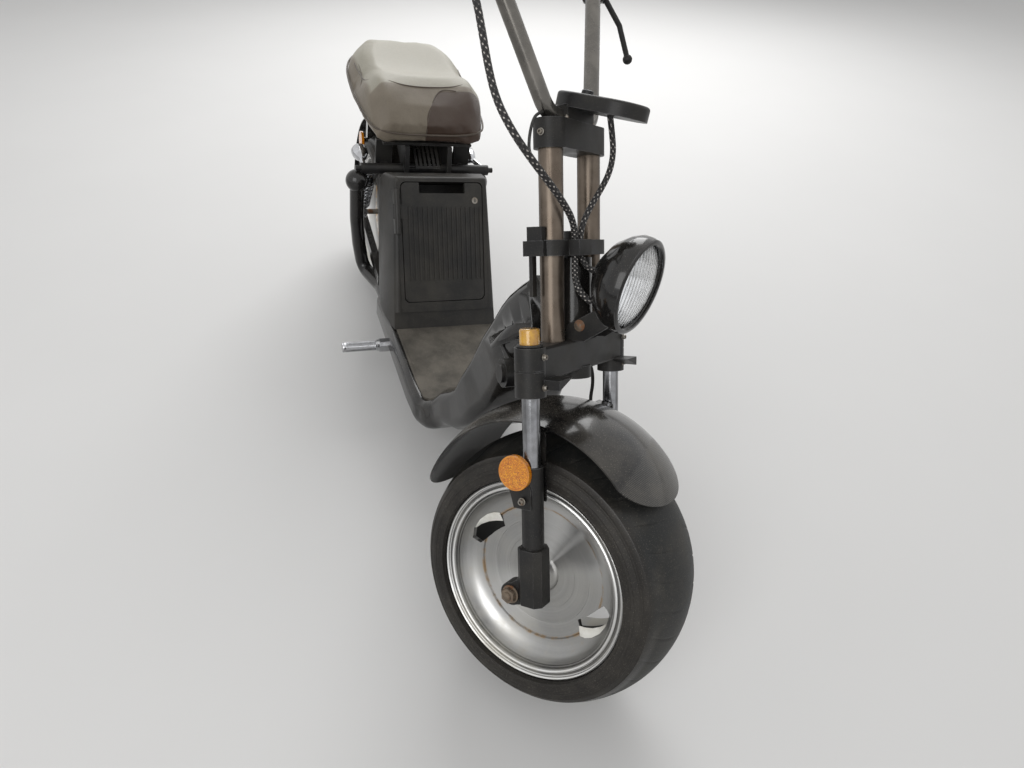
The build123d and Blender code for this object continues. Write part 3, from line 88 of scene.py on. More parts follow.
class Graph:
    """Builds a node tree in short calls."""

    def __init__(self, tree: bpy.types.NodeTree) -> None:
        """Keeps the tree.

        Args:
            tree: the node tree of a material or a group.
        """
        self.tree = tree

    def feed(self, socket: Socket, value: Any) -> None:
        """Sets a socket to a plain value, or links another socket to it."""
        if isinstance(value, bpy.types.NodeSocket):
            self.tree.links.new(value, socket)
        elif isinstance(value, tuple) and len(value) == 3 and socket.type == "RGBA":
            socket.default_value = (*value, 1.0)
        else:
            socket.default_value = value

    def node(self, kind: str, inputs: dict[Any, Any] | None = None, **settings: Any) -> Any:
        """Adds a node.

        Args:
            kind: the node's type name without its ShaderNode prefix.
            inputs: values or sockets by the name or number of the input.
            settings: the node's own properties.

        Returns:
            The new node.
        """
        made = self.tree.nodes.new("ShaderNode" + kind)
        for name, value in settings.items():
            setattr(made, name, value)
        for key, value in (inputs or {}).items():
            self.feed(made.inputs[key], value)
        return made

    def maths(self, operation: str, *values: Any, clamp: bool = False) -> Socket:
        """Returns the result of one sum on numbers."""
        inputs = dict(enumerate(values))
        return self.node("Math", inputs, operation=operation, use_clamp=clamp).outputs[0]

    def times(self, first: Any, second: Any, clamp: bool = False) -> Socket:
        """Returns a product."""
        return self.maths("MULTIPLY", first, second, clamp=clamp)

    def plus(self, first: Any, second: Any, clamp: bool = False) -> Socket:
        """Returns a sum."""
        return self.maths("ADD", first, second, clamp=clamp)

    def less(self, first: Any, second: Any) -> Socket:
        """Returns a difference."""
        return self.maths("SUBTRACT", first, second)

    def most(self, first: Any, second: Any) -> Socket:
        """Returns the larger of two numbers."""
        return self.maths("MAXIMUM", first, second)

    def vector(self, operation: str, *values: Any, result: int = 0) -> Socket:
        """Returns the result of one sum on vectors."""
        inputs = dict(enumerate(values))
        return self.node("VectorMath", inputs, operation=operation).outputs[result]

    def tint(self, factor: Any, first: Any, second: Any) -> Socket:
        """Returns a colour between two colours."""
        return self.node("Mix", {0: factor, 6: first, 7: second}, data_type="RGBA").outputs[2]

    def between(self, factor: Any, first: Any, second: Any) -> Socket:
        """Returns a number between two numbers."""
        return self.node("Mix", {0: factor, 2: first, 3: second}, data_type="FLOAT").outputs[0]

    def ramp(self, value: Any, low: float, high: float, start: float = 0.0, end: float = 1.0) -> Socket:
        """Returns a number moved smoothly from one range to another."""
        inputs = {0: value, 1: low, 2: high, 3: start, 4: end}
        return self.node("MapRange", inputs, interpolation_type="SMOOTHSTEP").outputs[0]

    def noise(self, vector: Any, scale: Any, detail: float = 3.0, rough: float = 0.55) -> Socket:
        """Returns a noise value between 0 and 1."""
        inputs = {"Vector": vector, "Scale": scale, "Detail": detail, "Roughness": rough}
        return self.node("TexNoise", inputs).outputs[0]

    def cells(self, vector: Any, scale: Any, feature: str = "F1", result: str = "Distance") -> Socket:
        """Returns a value of a pattern of cells."""
        inputs = {"Vector": vector, "Scale": scale}
        return self.node("TexVoronoi", inputs, feature=feature).outputs[result]


class Effects:
    """Shader node groups that several finishes share, each built once."""

    made: dict[str, bpy.types.NodeTree] = {}

    @classmethod
    def group(cls, name: str) -> bpy.types.NodeTree:
        """Returns a group by name, and builds it at its first use."""
        if name not in cls.made:
            cls.made[name] = getattr(cls, "build_" + name)()
        return cls.made[name]

    @staticmethod
    def blank(name: str, inputs: dict[str, float | None], outputs: dict[str, str]) -> tuple[Graph, Any, Any]:
        """Starts a group.

        Args:
            name: the group's name.
            inputs: number inputs with their defaults; None makes a vector input.
            outputs: the outputs with their kinds.

        Returns:
            The graph, the group's input node and its output node.
        """
        tree = bpy.data.node_groups.new(name, "ShaderNodeTree")
        for key, value in inputs.items():
            kind = "NodeSocketVector" if value is None else "NodeSocketFloat"
            made = tree.interface.new_socket(key, in_out="INPUT", socket_type=kind)
            if value is not None:
                made.default_value = value
        for key, kind in outputs.items():
            tree.interface.new_socket(key, in_out="OUTPUT", socket_type=kind)
        source = tree.nodes.new("NodeGroupInput")
        target = tree.nodes.new("NodeGroupOutput")
        return Graph(tree), source, target

    @classmethod
    def build_dust(cls) -> bpy.types.NodeTree:
        """Builds the dust that settles in patches and specks, more on upward faces."""
        inputs = {"Vector": None, "Scale": 12.0, "Cover": 0.3, "Upward": 0.6, "Specks": 0.3}
        graph, source, target = cls.blank("dust", inputs, {"Mask": "NodeSocketFloat"})
        get = source.outputs
        normal = graph.node("TexCoord").outputs["Normal"]
        rise = graph.node("SeparateXYZ", {0: normal}).outputs["Z"]
        up = graph.ramp(rise, -0.2, 0.9)
        facing = graph.between(get["Upward"], 1.0, up)
        cloud = graph.noise(get["Vector"], get["Scale"], 5.0, 0.6)
        patch = graph.ramp(cloud, 0.3, 0.75)
        fine = graph.noise(get["Vector"], graph.times(get["Scale"], 45.0), 2.0, 0.7)
        speck = graph.ramp(fine, 0.58, 0.74)
        spots = graph.times(speck, get["Specks"])
        veil = graph.times(graph.times(patch, get["Cover"]), facing)
        total = graph.plus(veil, graph.times(spots, facing), clamp=True)
        graph.feed(target.inputs[0], total)
        return graph.tree

    @classmethod
    def build_wear(cls) -> bpy.types.NodeTree:
        """Builds the wear along edges, broken up by a noise."""
        inputs = {"Vector": None, "Radius": 0.002, "Amount": 0.4, "Scale": 60.0}
        graph, source, target = cls.blank("wear", inputs, {"Mask": "NodeSocketFloat"})
        get = source.outputs
        rounded = graph.node("Bevel", {"Radius": get["Radius"]}, samples=4).outputs[0]
        flat = graph.node("NewGeometry").outputs["Normal"]
        bend = graph.vector("DOT_PRODUCT", rounded, flat, result=1)
        edge = graph.ramp(graph.less(1.0, bend), 0.02, 0.22)
        broken = graph.ramp(graph.noise(get["Vector"], get["Scale"], 4.0, 0.65), 0.38, 0.62)
        mask = graph.times(edge, graph.times(broken, get["Amount"]), clamp=True)
        graph.feed(target.inputs[0], mask)
        return graph.tree

    @classmethod
    def build_rust(cls) -> bpy.types.NodeTree:
        """Builds patches of rust with ragged rims."""
        inputs = {"Vector": None, "Scale": 30.0, "Amount": 0.3}
        graph, source, target = cls.blank("rust", inputs, {"Mask": "NodeSocketFloat"})
        get = source.outputs
        broad = graph.noise(get["Vector"], get["Scale"], 6.0, 0.68)
        level = graph.less(0.78, graph.times(get["Amount"], 0.4))
        over = graph.less(broad, level)
        graph.feed(target.inputs[0], graph.ramp(over, 0.0, 0.09))
        return graph.tree

    @classmethod
    def build_polar(cls) -> bpy.types.NodeTree:
        """Builds the radius, turn and height of a point about the local Z axis."""
        kinds = {name: "NodeSocketFloat" for name in ("Radius", "Turn", "Height")}
        graph, source, target = cls.blank("polar", {"Vector": None}, kinds)
        parts = graph.node("SeparateXYZ", {0: source.outputs["Vector"]}).outputs
        flat = graph.plus(graph.maths("POWER", parts[0], 2.0), graph.maths("POWER", parts[1], 2.0))
        graph.feed(target.inputs["Radius"], graph.maths("SQRT", flat))
        graph.feed(target.inputs["Turn"], graph.maths("ARCTAN2", parts[1], parts[0]))
        graph.feed(target.inputs["Height"], parts[2])
        return graph.tree

    @classmethod
    def use(cls, graph: Graph, name: str, **inputs: Any) -> Any:
        """Places a group in a material's tree and returns its node's outputs."""
        node = graph.tree.nodes.new("ShaderNodeGroup")
        node.node_tree = cls.group(name)
        for key, value in inputs.items():
            graph.feed(node.inputs[key], value)
        return node.outputs


def hub_of(joint: str) -> tuple[Vector, Vector]:
    """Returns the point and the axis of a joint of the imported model."""
    found = next(j for j in FRAME["joints"] if j["name"] == joint)
    return Vector(found["pos_m"]), Vector(found["axis"]).normalized()


def centred(graph: Graph, place: Socket, joint: str) -> Socket:
    """Returns coordinates about a wheel's hub, with the wheel's axis as Z.

    Args:
        graph: the material's graph.
        place: the object's coordinates.
        joint: the wheel's joint.

    Returns:
        The coordinates about the hub.
    """
    centre, axis = hub_of(joint)
    turn = axis.to_track_quat("Z", "Y").to_euler()
    inputs = {"Vector": place, "Location": centre, "Rotation": turn}
    return graph.node("Mapping", inputs, vector_type="TEXTURE").outputs[0]


class Paint:
    """A new material with its graph, shader and coordinates, which a finish fills in."""

    def __init__(self, name: str, joint: str | None = None) -> None:
        """Starts the material.

        Args:
            name: the material's name.
            joint: the joint of the wheel whose hub the coordinates are about, if any.
        """
        self.material = bpy.data.materials.new(name)
        self.material.use_nodes = True
        self.graph = Graph(self.material.node_tree)
        self.shader = self.material.node_tree.nodes["Principled BSDF"]
        self.spot = self.graph.node("TexCoord").outputs["Object"]
        self.place = centred(self.graph, self.spot, joint) if joint else self.spot

    def polar(self) -> Any:
        """Returns the radius, turn and height about the coordinates' Z axis."""
        return Effects.use(self.graph, "polar", Vector=self.place)

    def dust(self, cover: float, upward: float, specks: float) -> Socket:
        """Returns the mask of the dust."""
        inputs = {"Cover": cover, "Upward": upward, "Specks": specks}
        return Effects.use(self.graph, "dust", Vector=self.place, **inputs)["Mask"]

    def done(
        self, inputs: dict[str, Any], height: Socket | None = None, strength: float = 0.0,
        depth: float = 0.0004,
    ) -> bpy.types.Material:
        """Feeds the shader.

        Args:
            inputs: values or sockets by the name of the shader's input.
            height: the height of the relief, if any.
            strength: the relief's strength.
            depth: the relief's depth in metres.

        Returns:
            The finished material.
        """
        for key, value in inputs.items():
            self.graph.feed(self.shader.inputs[key], value)
        if height is not None:
            relief = {"Height": height, "Strength": strength, "Distance": depth}
            self.graph.feed(self.shader.inputs["Normal"], self.graph.node("Bump", relief).outputs[0])
        return self.material


@dataclass(frozen=True)
class Finish:
    """A surface with its colour, gloss, relief, dust, wear and rust."""

    name: str
    colour: Colour
    second: Colour | None = None
    vary: float = 14.0
    roughness: float = 0.4
    rough_spread: float = 0.1
    metallic: float = 0.0
    coat: float = 0.0
    specular: float = 0.5
    grain: Grain = Grain.SMOOTH
    grain_scale: float = 600.0
    grain_depth: float = 0.1
    dust: float = 0.2
    specks: float = 0.15
    upward: float = 0.6
    dust_colour: Colour = DUST_GREY
    wear: float = 0.0
    wear_colour: Colour = BARE_STEEL
    rust: float = 0.0

    def relief(self, graph: Graph, place: Socket) -> Socket | None:
        """Returns the height of the finish's fine relief."""
        if self.grain in (Grain.PEEL, Grain.CAST):
            return graph.noise(place, self.grain_scale, 3.0, 0.5)
        if self.grain is Grain.STIPPLE:
            return graph.cells(place, self.grain_scale)
        if self.grain is Grain.BRUSHED:
            stretched = graph.node("Mapping", {"Vector": place, "Scale": (1.0, 14.0, 14.0)}).outputs[0]
            return graph.noise(stretched, self.grain_scale, 2.0, 0.6)
        if self.grain is Grain.TURNED:
            radius = Effects.use(graph, "polar", Vector=place)["Radius"]
            ring = graph.node("CombineXYZ", {"X": radius}).outputs[0]
            return graph.noise(ring, self.grain_scale, 3.0, 0.7)
        if self.grain is Grain.LEATHER:
            edge = graph.cells(place, self.grain_scale, "DISTANCE_TO_EDGE")
            return graph.ramp(edge, 0.0, 0.2)
        return None

    def make(self) -> bpy.types.Material:
        """Builds the material.

        Returns:
            The finished material.
        """
        paint = Paint(self.name)
        graph, place = paint.graph, paint.place
        cloud = graph.noise(place, self.vary, 4.0, 0.6)
        base: Any = self.colour
        if self.second:
            base = graph.tint(graph.ramp(cloud, 0.35, 0.68), self.colour, self.second)
        half = self.rough_spread / 2
        rough: Any = graph.ramp(cloud, 0.3, 0.7, self.roughness - half, self.roughness + half)
        metal: Any = self.metallic
        if self.wear:
            mask = Effects.use(graph, "wear", Vector=place, Amount=self.wear)["Mask"]
            base = graph.tint(mask, base, self.wear_colour)
            metal = graph.between(mask, metal, 0.9)
        if self.rust:
            mask = Effects.use(graph, "rust", Vector=place, Amount=self.rust)["Mask"]
            base = graph.tint(mask, base, RUST_BROWN)
            rough = graph.between(mask, rough, 0.85)
            metal = graph.between(mask, metal, 0.0)
        if self.dust:
            mask = paint.dust(self.dust, self.upward, self.specks)
            base = graph.tint(mask, base, self.dust_colour)
            rough = graph.between(mask, rough, 0.9)
            metal = graph.between(mask, metal, 0.0)
        inputs = {"Base Color": base, "Roughness": rough, "Metallic": metal}
        inputs["Specular IOR Level"] = self.specular
        if self.coat:
            inputs |= {"Coat Weight": self.coat, "Coat Roughness": 0.06}
        return paint.done(inputs, self.relief(graph, place), self.grain_depth)


def local(spot: Spot = (0, 0, 0), turn: Spot = (0, 0, 0)) -> Matrix:
    """Returns a place in a local frame.

    Args:
        spot: the place in millimetres.
        turn: the turns about X, Y and Z in degrees.

    Returns:
        The matrix of the place.
    """
    angles = Euler(tuple(math.radians(angle) for angle in turn)).to_matrix().to_4x4()
    return Matrix.Translation(spot) @ angles


def look_along(start: Any, end: Any) -> Matrix:
    """Returns the place at start whose Z points to end."""
    run = Vector(end) - Vector(start)
    return Matrix.Translation(start) @ run.to_track_quat("Z", "Y").to_matrix().to_4x4()


def mirrored(frame: Matrix, spot: Spot, turn: float = 0.0) -> list[Matrix]:
    """Returns the places on the right and on the left side.

    Args:
        frame: the frame that the place is in.
        spot: the left place in millimetres.
        turn: the left place's turn about X in degrees.

    Returns:
        The two places.
    """
    x, y, z = spot
    return [frame @ local((x, side * y, z), (turn * side, 0, 0)) for side in (-1, 1)]


class Frames:
    """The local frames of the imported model, in millimetres."""

    @staticmethod
    def built(origin: Vector, ahead: Vector, left: Vector, up: Vector) -> Matrix:
        """Returns the matrix of a frame from its origin and axes."""
        turn = Matrix((ahead, left, up)).transposed().to_4x4()
        return Matrix.Translation(origin) @ turn @ Matrix.Scale(MM, 4)

    @classmethod
    def fork(cls) -> Matrix:
        """Returns the fork's frame: X ahead, Y left, Z up along the fork, the axle at its origin."""
        origin, left = hub_of("front_hub")
        up = hub_of("steering_stem")[1]
        return cls.built(origin, left.cross(up), left, up)

    @classmethod
    def body(cls) -> Matrix:
        """Returns the upright vehicle's frame, with the floor under it at the height nought."""
        hub, left = hub_of("rear_hub")
        stem = hub_of("steering_stem")[1]
        level = left.cross(stem)
        ahead = level * math.cos(RAKE) - stem * math.sin(RAKE)
        up = level * math.sin(RAKE) + stem * math.cos(RAKE)
        turned = cls.built(Vector(), ahead, left, up)
        return Matrix.Translation(hub - turned @ Vector(REAR_HUB)) @ turned

    @classmethod
    def door(cls) -> Matrix:
        """Returns the battery box's front face: X out of it, Y left, Z up along it, at the hinge's middle."""
        origin, down = hub_of("door_hinge")
        left = hub_of("rear_hub")[1]
        return cls.built(origin, left.cross(-down), left, -down)


FORK = Frames.fork()
BODY = Frames.body()
DOOR = Frames.door()
LAMP = FORK @ local((148, 0, 483), (0, 19.5, 0))
LAMP_AXIS = LAMP @ local(turn=(0, 90, 0))
REAR = BODY @ local(REAR_HUB)


class Mesh:
    """Mesh shapes that the pieces share, each in millimetres."""

    @staticmethod
    def lathe(profile: Profile, steps: int = 96) -> bmesh.types.BMesh:
        """Turns a profile about Z.

        Args:
            profile: radius and height of each point.
            steps: how many steps the full turn has.

        Returns:
            The turned shape.
        """
        shape = bmesh.new()
        verts = [shape.verts.new((radius, 0, height)) for radius, height in profile]
        edges = [shape.edges.new(pair) for pair in zip(verts, verts[1:])]
        parts = [*verts, *edges]
        full = {"axis": (0, 0, 1), "cent": (0, 0, 0), "angle": math.tau, "steps": steps, "use_merge": True}
        bmesh.ops.spin(shape, geom=parts, **full)
        bmesh.ops.remove_doubles(shape, verts=shape.verts, dist=0.001)
        bmesh.ops.recalc_face_normals(shape, faces=shape.faces)
        return shape

    @staticmethod
    def stick(radius: float, length: float, steps: int = 24, edge: float = 0.0) -> bmesh.types.BMesh:
        """Makes a round or many-sided bar along Z from nought.

        Args:
            radius: the bar's radius.
            length: the bar's length.
            steps: how many sides it has.
            edge: how far the ends' edges are broken.

        Returns:
            The bar.
        """
        shape = bmesh.new()
        size = {"radius1": radius, "radius2": radius, "depth": length}
        bmesh.ops.create_cone(shape, cap_ends=True, segments=steps, matrix=local((0, 0, length / 2)), **size)
        if edge:
            Mesh.soften(shape, Mesh.edges(shape, rising=False), edge)
        return shape

    @staticmethod
    def brick(size: Spot, edge: float = 0.0) -> bmesh.types.BMesh:
        """Makes a box about nought with broken edges."""
        shape = bmesh.new()
        bmesh.ops.create_cube(shape, size=1.0)
        bmesh.ops.scale(shape, vec=size, verts=shape.verts)
        if edge:
            Mesh.soften(shape, shape.edges[:], edge)
        return shape

    @staticmethod
    def soften(shape: bmesh.types.BMesh, edges: list[Any], width: float, segments: int = 2) -> None:
        """Rounds edges."""
        settings = {"affect": "EDGES", "segments": segments, "profile": 0.5, "material": -1}
        bmesh.ops.bevel(shape, geom=edges, offset=width, offset_type="OFFSET", **settings)

    @staticmethod
    def edges(shape: bmesh.types.BMesh, rising: bool) -> list[Any]:
        """Returns the edges that rise along Z, or those that lie level."""
        return [e for e in shape.edges if (abs(e.verts[0].co.z - e.verts[1].co.z) > LEVEL) == rising]

    @staticmethod
    def thicken(shape: bmesh.types.BMesh, run: Spot) -> None:
        """Draws a flat shape out along a run."""
        result = bmesh.ops.extrude_face_region(shape, geom=shape.faces[:])
        moved = [item for item in result["geom"] if isinstance(item, bmesh.types.BMVert)]
        bmesh.ops.translate(shape, vec=run, verts=moved)

    @staticmethod
    def join(target: bmesh.types.BMesh, source: bmesh.types.BMesh, place: Matrix) -> None:
        """Moves a shape to its place and adds it to another."""
        bmesh.ops.transform(source, matrix=place, verts=source.verts)
        if place.determinant() < 0:
            bmesh.ops.reverse_faces(source, faces=source.faces)
        spare = bpy.data.meshes.new("spare")
        source.to_mesh(spare)
        source.free()
        target.from_mesh(spare)
        bpy.data.meshes.remove(spare)


@dataclass
class Piece:
    """One piece of the scene, gathered from shapes and then handed over."""

    name: str
    body: str
    slot: str
    stands_for: tuple[str, ...] = ()
    sharp: float = 38.0
    shape: bmesh.types.BMesh = field(default_factory=bmesh.new)

    def add(self, source: bmesh.types.BMesh, place: Matrix) -> "Piece":
        """Adds a shape at its place."""
        Mesh.join(self.shape, source, place)
        return self

    def turned(self, profile: Profile, steps: int, *places: Matrix) -> "Piece":
        """Adds a shape turned about Z at each place."""
        for place in places:
            self.add(Mesh.lathe(profile, steps), place)
        return self

    def hand_over(self, material: bpy.types.Material) -> bpy.types.Object:
        """Makes the object.

        Args:
            material: the piece's finish.

        Returns:
            The finished object.
        """
        mesh = bpy.data.meshes.new(self.name)
        self.shape.to_mesh(mesh)
        self.shape.free()
        mesh.shade_smooth()
        mesh.set_sharp_from_angle(angle=math.radians(self.sharp))
        mesh.materials.append(material)
        made = bpy.data.objects.new(self.name, mesh)
        return settled(made, self.body, self.stands_for)


def settled(
    made: bpy.types.Object, body: str, stands_for: tuple[str, ...] = (),
) -> bpy.types.Object:
    """Links an object to the scene and tells the model what carries it.

    Args:
        made: the object.
        body: the body that it rides on.
        stands_for: the CAD nodes that it stands for.

    Returns:
        The same object.
    """
    bpy.context.scene.collection.objects.link(made)
    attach(made, body)
    if stands_for:
        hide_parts(*stands_for)
    LOG.info("%s on %s", made.name, body)
    return made


@dataclass(frozen=True)
class Strand:
    """A round cord, bead or wire that follows points of a frame."""

    radius: float
    frame: Matrix
    smooth: int = 10
    sides: int = 5
    capped: bool = True
    closed: bool = False

    def mesh(self, name: str, points: Any) -> bpy.types.Mesh:
        """Makes the strand.

        Args:
            name: the strand's name.
            points: its route in millimetres.

        Returns:
            The strand's mesh.
        """
        curve = bpy.data.curves.new(name, "CURVE")
        curve.dimensions = "3D"
        curve.resolution_u = self.smooth
        curve.bevel_depth = self.radius * MM
        curve.bevel_resolution = self.sides
        curve.use_fill_caps = self.capped
        spline = curve.splines.new("NURBS")
        spline.points.add(len(points) - 1)
        for knot, point in zip(spline.points, points):
            knot.co = (*(self.frame @ Vector(point)), 1.0)
        spline.order_u = 3
        spline.use_cyclic_u = self.closed
        spline.use_endpoint_u = not self.closed
        holder = bpy.data.objects.new(name + "_line", curve)
        mesh = bpy.data.meshes.new_from_object(holder)
        bpy.data.objects.remove(holder)
        mesh.name = name
        mesh.shade_smooth()
        return mesh


@dataclass(frozen=True)
class Studio:
    """The camera at the photograph's angle, the pale floor and the soft light."""

    lens: float = 25.57
    offset: Spot = (0.7109, -0.3574, 1.0682)
    right: Spot = (0.32407, 0.94569, 0.02549)
    down: Spot = (0.61486, -0.19007, -0.76539)
    floor_size: float = 40.0
    floor_colour: Colour = (0.80, 0.795, 0.785)
    floor_fade: float = 0.94
    floor_drop: float = 0.0005

    def camera(self) -> None:
        """Sets the camera beside the front axle's middle."""
        low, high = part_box("front_axle")
        right, up = Vector(self.right), -Vector(self.down)
        turn = Matrix((right, up, right.cross(up))).transposed().to_4x4()
        data = bpy.data.cameras.new("camera")
        data.lens = self.lens
        data.sensor_width = 36.0
        data.clip_end = 200.0
        made = bpy.data.objects.new("camera", data)
        made.matrix_world = Matrix.Translation((low + high) / 2 + Vector(self.offset)) @ turn
        bpy.context.scene.collection.objects.link(made)
        bpy.context.scene.camera = made

    def floor(self) -> None:
        """Lays the pale floor."""
        shape = bmesh.new()
        bmesh.ops.create_grid(shape, x_segments=1, y_segments=1, size=self.floor_size / 2)
        mesh = bpy.data.meshes.new("floor")
        shape.to_mesh(mesh)
        shape.free()
        paint = Paint("pale floor")
        darker = tuple(part * self.floor_fade for part in self.floor_colour)
        base = paint.graph.tint(paint.graph.noise(paint.place, 1.3, 4.0), self.floor_colour, darker)
        mesh.materials.append(paint.done({"Base Color": base, "Roughness": 0.7}))
        made = bpy.data.objects.new("floor", mesh)
        made.location.z = -self.floor_drop
        bpy.context.scene.collection.objects.link(made)

    def world(self) -> None:
        """Gives the world a soft light and a white background."""
        world = bpy.data.worlds.new("studio")
        bpy.context.scene.world = world
        world.use_nodes = True
        graph = Graph(world.node_tree)
        ray = graph.node("LightPath").outputs
        seen = graph.most(ray["Is Camera Ray"], ray["Is Transmission Ray"])
        strength = graph.between(graph.most(seen, ray["Is Glossy Ray"]), 0.42, 1.0)
        shader = world.node_tree.nodes["Background"]
        graph.feed(shader.inputs["Color"], (1.0, 1.0, 1.0))
        graph.feed(shader.inputs["Strength"], strength)

    def lamp(self, name: str, spot: Spot, aim: Spot, size: float, power: float) -> None:
        """Hangs a soft square lamp.

        Args:
            name: the lamp's name.
            spot: where it hangs.
            aim: the point that it faces.
            size: its side.
            power: its power.
        """
        data = bpy.data.lights.new(name, "AREA")
        data.size = size
        data.energy = power
        made = bpy.data.objects.new(name, data)
        away = Vector(spot) - Vector(aim)
        made.matrix_world = Matrix.Translation(spot) @ away.to_track_quat("Z", "Y").to_matrix().to_4x4()
        bpy.context.scene.collection.objects.link(made)

    def build(self) -> None:
        """Sets up the whole studio."""
        self.camera()
        self.floor()
        self.world()
        self.lamp("window light", (-3.2, 1.6, 3.0), (0.0, 0.0, 0.4), 3.0, 120.0)
        self.lamp("front light", (3.2, -2.6, 3.2), (0.2, 0.0, 0.4), 3.0, 75.0)
        bpy.context.scene.view_settings.view_transform = "Standard"


GLOSS_BLACK = Finish(
    "gloss black enamel", (0.006, 0.006, 0.007), (0.010, 0.0095, 0.009), 9.0, 0.14, 0.1, coat=0.25,
    specular=0.3, grain=Grain.PEEL, grain_scale=260.0, grain_depth=0.04, dust=0.10, specks=0.28, wear=0.18,
)
SATIN_BLACK = Finish(
    "satin black paint", (0.009, 0.009, 0.010), (0.015, 0.0145, 0.0135), 20.0, 0.4, 0.16, specular=0.25,
    grain=Grain.CAST, grain_scale=900.0, grain_depth=0.18, dust=0.08, specks=0.16, wear=0.3,
)
BRONZE = Finish(
    "bronze tube paint", (0.105, 0.082, 0.063), (0.15, 0.12, 0.094), 24.0, 0.3, 0.12, metallic=0.8,
    grain=Grain.PEEL, grain_scale=700.0, grain_depth=0.06, dust=0.12, specks=0.16, wear=0.2,
)
GUNMETAL = Finish(
    "gunmetal tube paint", (0.125, 0.118, 0.108), (0.17, 0.16, 0.145), 24.0, 0.26, 0.1, metallic=0.85,
    grain=Grain.PEEL, grain_scale=700.0, grain_depth=0.05, dust=0.1, specks=0.12, wear=0.2,
)
CHROME = Finish(
    "chrome plate", (0.56, 0.57, 0.59), (0.42, 0.42, 0.43), 30.0, 0.1, 0.08, metallic=1.0,
    grain=Grain.PEEL, grain_scale=300.0, grain_depth=0.02, dust=0.1, specks=0.18, rust=0.12,
)
# Chrome darkened to stand for the dark ground that it reflects: a painted dark reflection.
DARK_REFLECTION_CHROME = Finish(
    "stanchion chrome", (0.27, 0.275, 0.29), (0.16, 0.163, 0.17), 36.0, 0.13, 0.08, metallic=1.0,
    grain=Grain.BRUSHED, grain_scale=300.0, grain_depth=0.03, dust=0.12, specks=0.2, rust=0.2,
)
PLAIN_STEEL = Finish(
    "dull zinc steel", (0.27, 0.255, 0.23), (0.17, 0.14, 0.11), 60.0, 0.42, 0.2, metallic=0.9,
    grain=Grain.CAST, grain_scale=1400.0, grain_depth=0.2, dust=0.25, rust=0.55,
)
RUSTY_STEEL = Finish(
    "rusty steel", (0.13, 0.10, 0.075), (0.22, 0.17, 0.125), 90.0, 0.62, 0.2, metallic=0.6,
    grain=Grain.CAST, grain_scale=1600.0, grain_depth=0.7, dust=0.35, rust=0.8,
)
DISC_STEEL = Finish(
    "ground brake steel", (0.34, 0.34, 0.34), (0.24, 0.225, 0.21), 20.0, 0.3, 0.15, metallic=1.0,
    grain=Grain.BRUSHED, grain_scale=500.0, grain_depth=0.15, dust=0.15, rust=0.3,
)
CASE_PLASTIC = Finish(
    "grained case plastic", (0.011, 0.011, 0.011), (0.019, 0.018, 0.016), 10.0, 0.42, 0.14, specular=0.3,
    grain=Grain.STIPPLE, grain_scale=900.0, grain_depth=0.35, dust=0.10, specks=0.2, wear=0.18,
    wear_colour=(0.07, 0.07, 0.07),
)
MAT_RUBBER = Finish(
    "dusty mat rubber", (0.05, 0.045, 0.037), (0.085, 0.076, 0.062), 7.0, 0.85, 0.1,
    grain=Grain.CAST, grain_scale=700.0, grain_depth=0.6, dust=0.42, specks=0.45, upward=0.3,
)
GRIP_RUBBER = Finish(
    "grip rubber", (0.014, 0.014, 0.014), (0.022, 0.0215, 0.021), 30.0, 0.6, 0.15, specular=0.3,
    grain=Grain.STIPPLE, grain_scale=1500.0, grain_depth=0.3, dust=0.14, specks=0.2,
)
RED_PLASTIC = Finish(
    "clear red plastic", (0.35, 0.008, 0.008), (0.28, 0.006, 0.006), 30.0, 0.16, 0.06, coat=0.5,
    grain=Grain.PEEL, grain_scale=400.0, grain_depth=0.05, dust=0.12, specks=0.1,
)
AMBER_CAP = Finish(
    "clear amber cap", (0.72, 0.38, 0.015), (0.45, 0.19, 0.006), 55.0, 0.12, 0.06, coat=0.9,
    grain=Grain.TURNED, grain_scale=420.0, grain_depth=0.3, dust=0.1, specks=0.1,
)
# Lighter than the rim's alloy, to lift the vanes out of their shade: painted light.
LIT_VANE_ALLOY = Finish(
    "bent bright alloy", (0.86, 0.85, 0.80), (0.70, 0.68, 0.62), 40.0, 0.3, 0.1, metallic=0.55,
    grain=Grain.BRUSHED, grain_scale=600.0, grain_depth=0.1, dust=0.12, specks=0.15, upward=0.0,
)
PLATE_WHITE = Finish(
    "white plate enamel", (0.62, 0.62, 0.6), (0.5, 0.49, 0.46), 8.0, 0.32, 0.1,
    grain=Grain.PEEL, grain_scale=300.0, grain_depth=0.05, dust=0.3, specks=0.3, upward=0.2,
)
PACK_GREY = Finish(
    "battery wrap", (0.05, 0.052, 0.056), (0.07, 0.07, 0.072), 18.0, 0.5, 0.1,
    grain=Grain.STIPPLE, grain_scale=700.0, grain_depth=0.2, dust=0.1,
)
SILVERED = Finish(
    "silvered bowl", (0.82, 0.83, 0.84), (0.6, 0.61, 0.62), 30.0, 0.16, 0.1, metallic=1.0,
    dust=0.05, specks=0.05,
)
FROSTED = Finish("frosted bulb", (0.75, 0.74, 0.7), (0.66, 0.64, 0.6), 60.0, 0.2, 0.1, dust=0.05, specks=0.0)
SMOKED = Finish(
    "smoked screen", (0.012, 0.013, 0.015), (0.02, 0.021, 0.022), 40.0, 0.08, 0.05, coat=0.8,
    dust=0.1, specks=0.2,
)
AMBER_RIM = Finish(
    "amber rim", (0.8, 0.3, 0.01), (0.6, 0.2, 0.008), 60.0, 0.2, 0.08, coat=0.6, dust=0.15, specks=0.1,
)
DARK_AMBER = Finish(
    "dark amber lens", (0.3, 0.085, 0.008), (0.2, 0.05, 0.006), 90.0, 0.18, 0.08, coat=0.7,
    grain=Grain.STIPPLE, grain_scale=420.0, grain_depth=0.5, dust=0.25, specks=0.2,
)


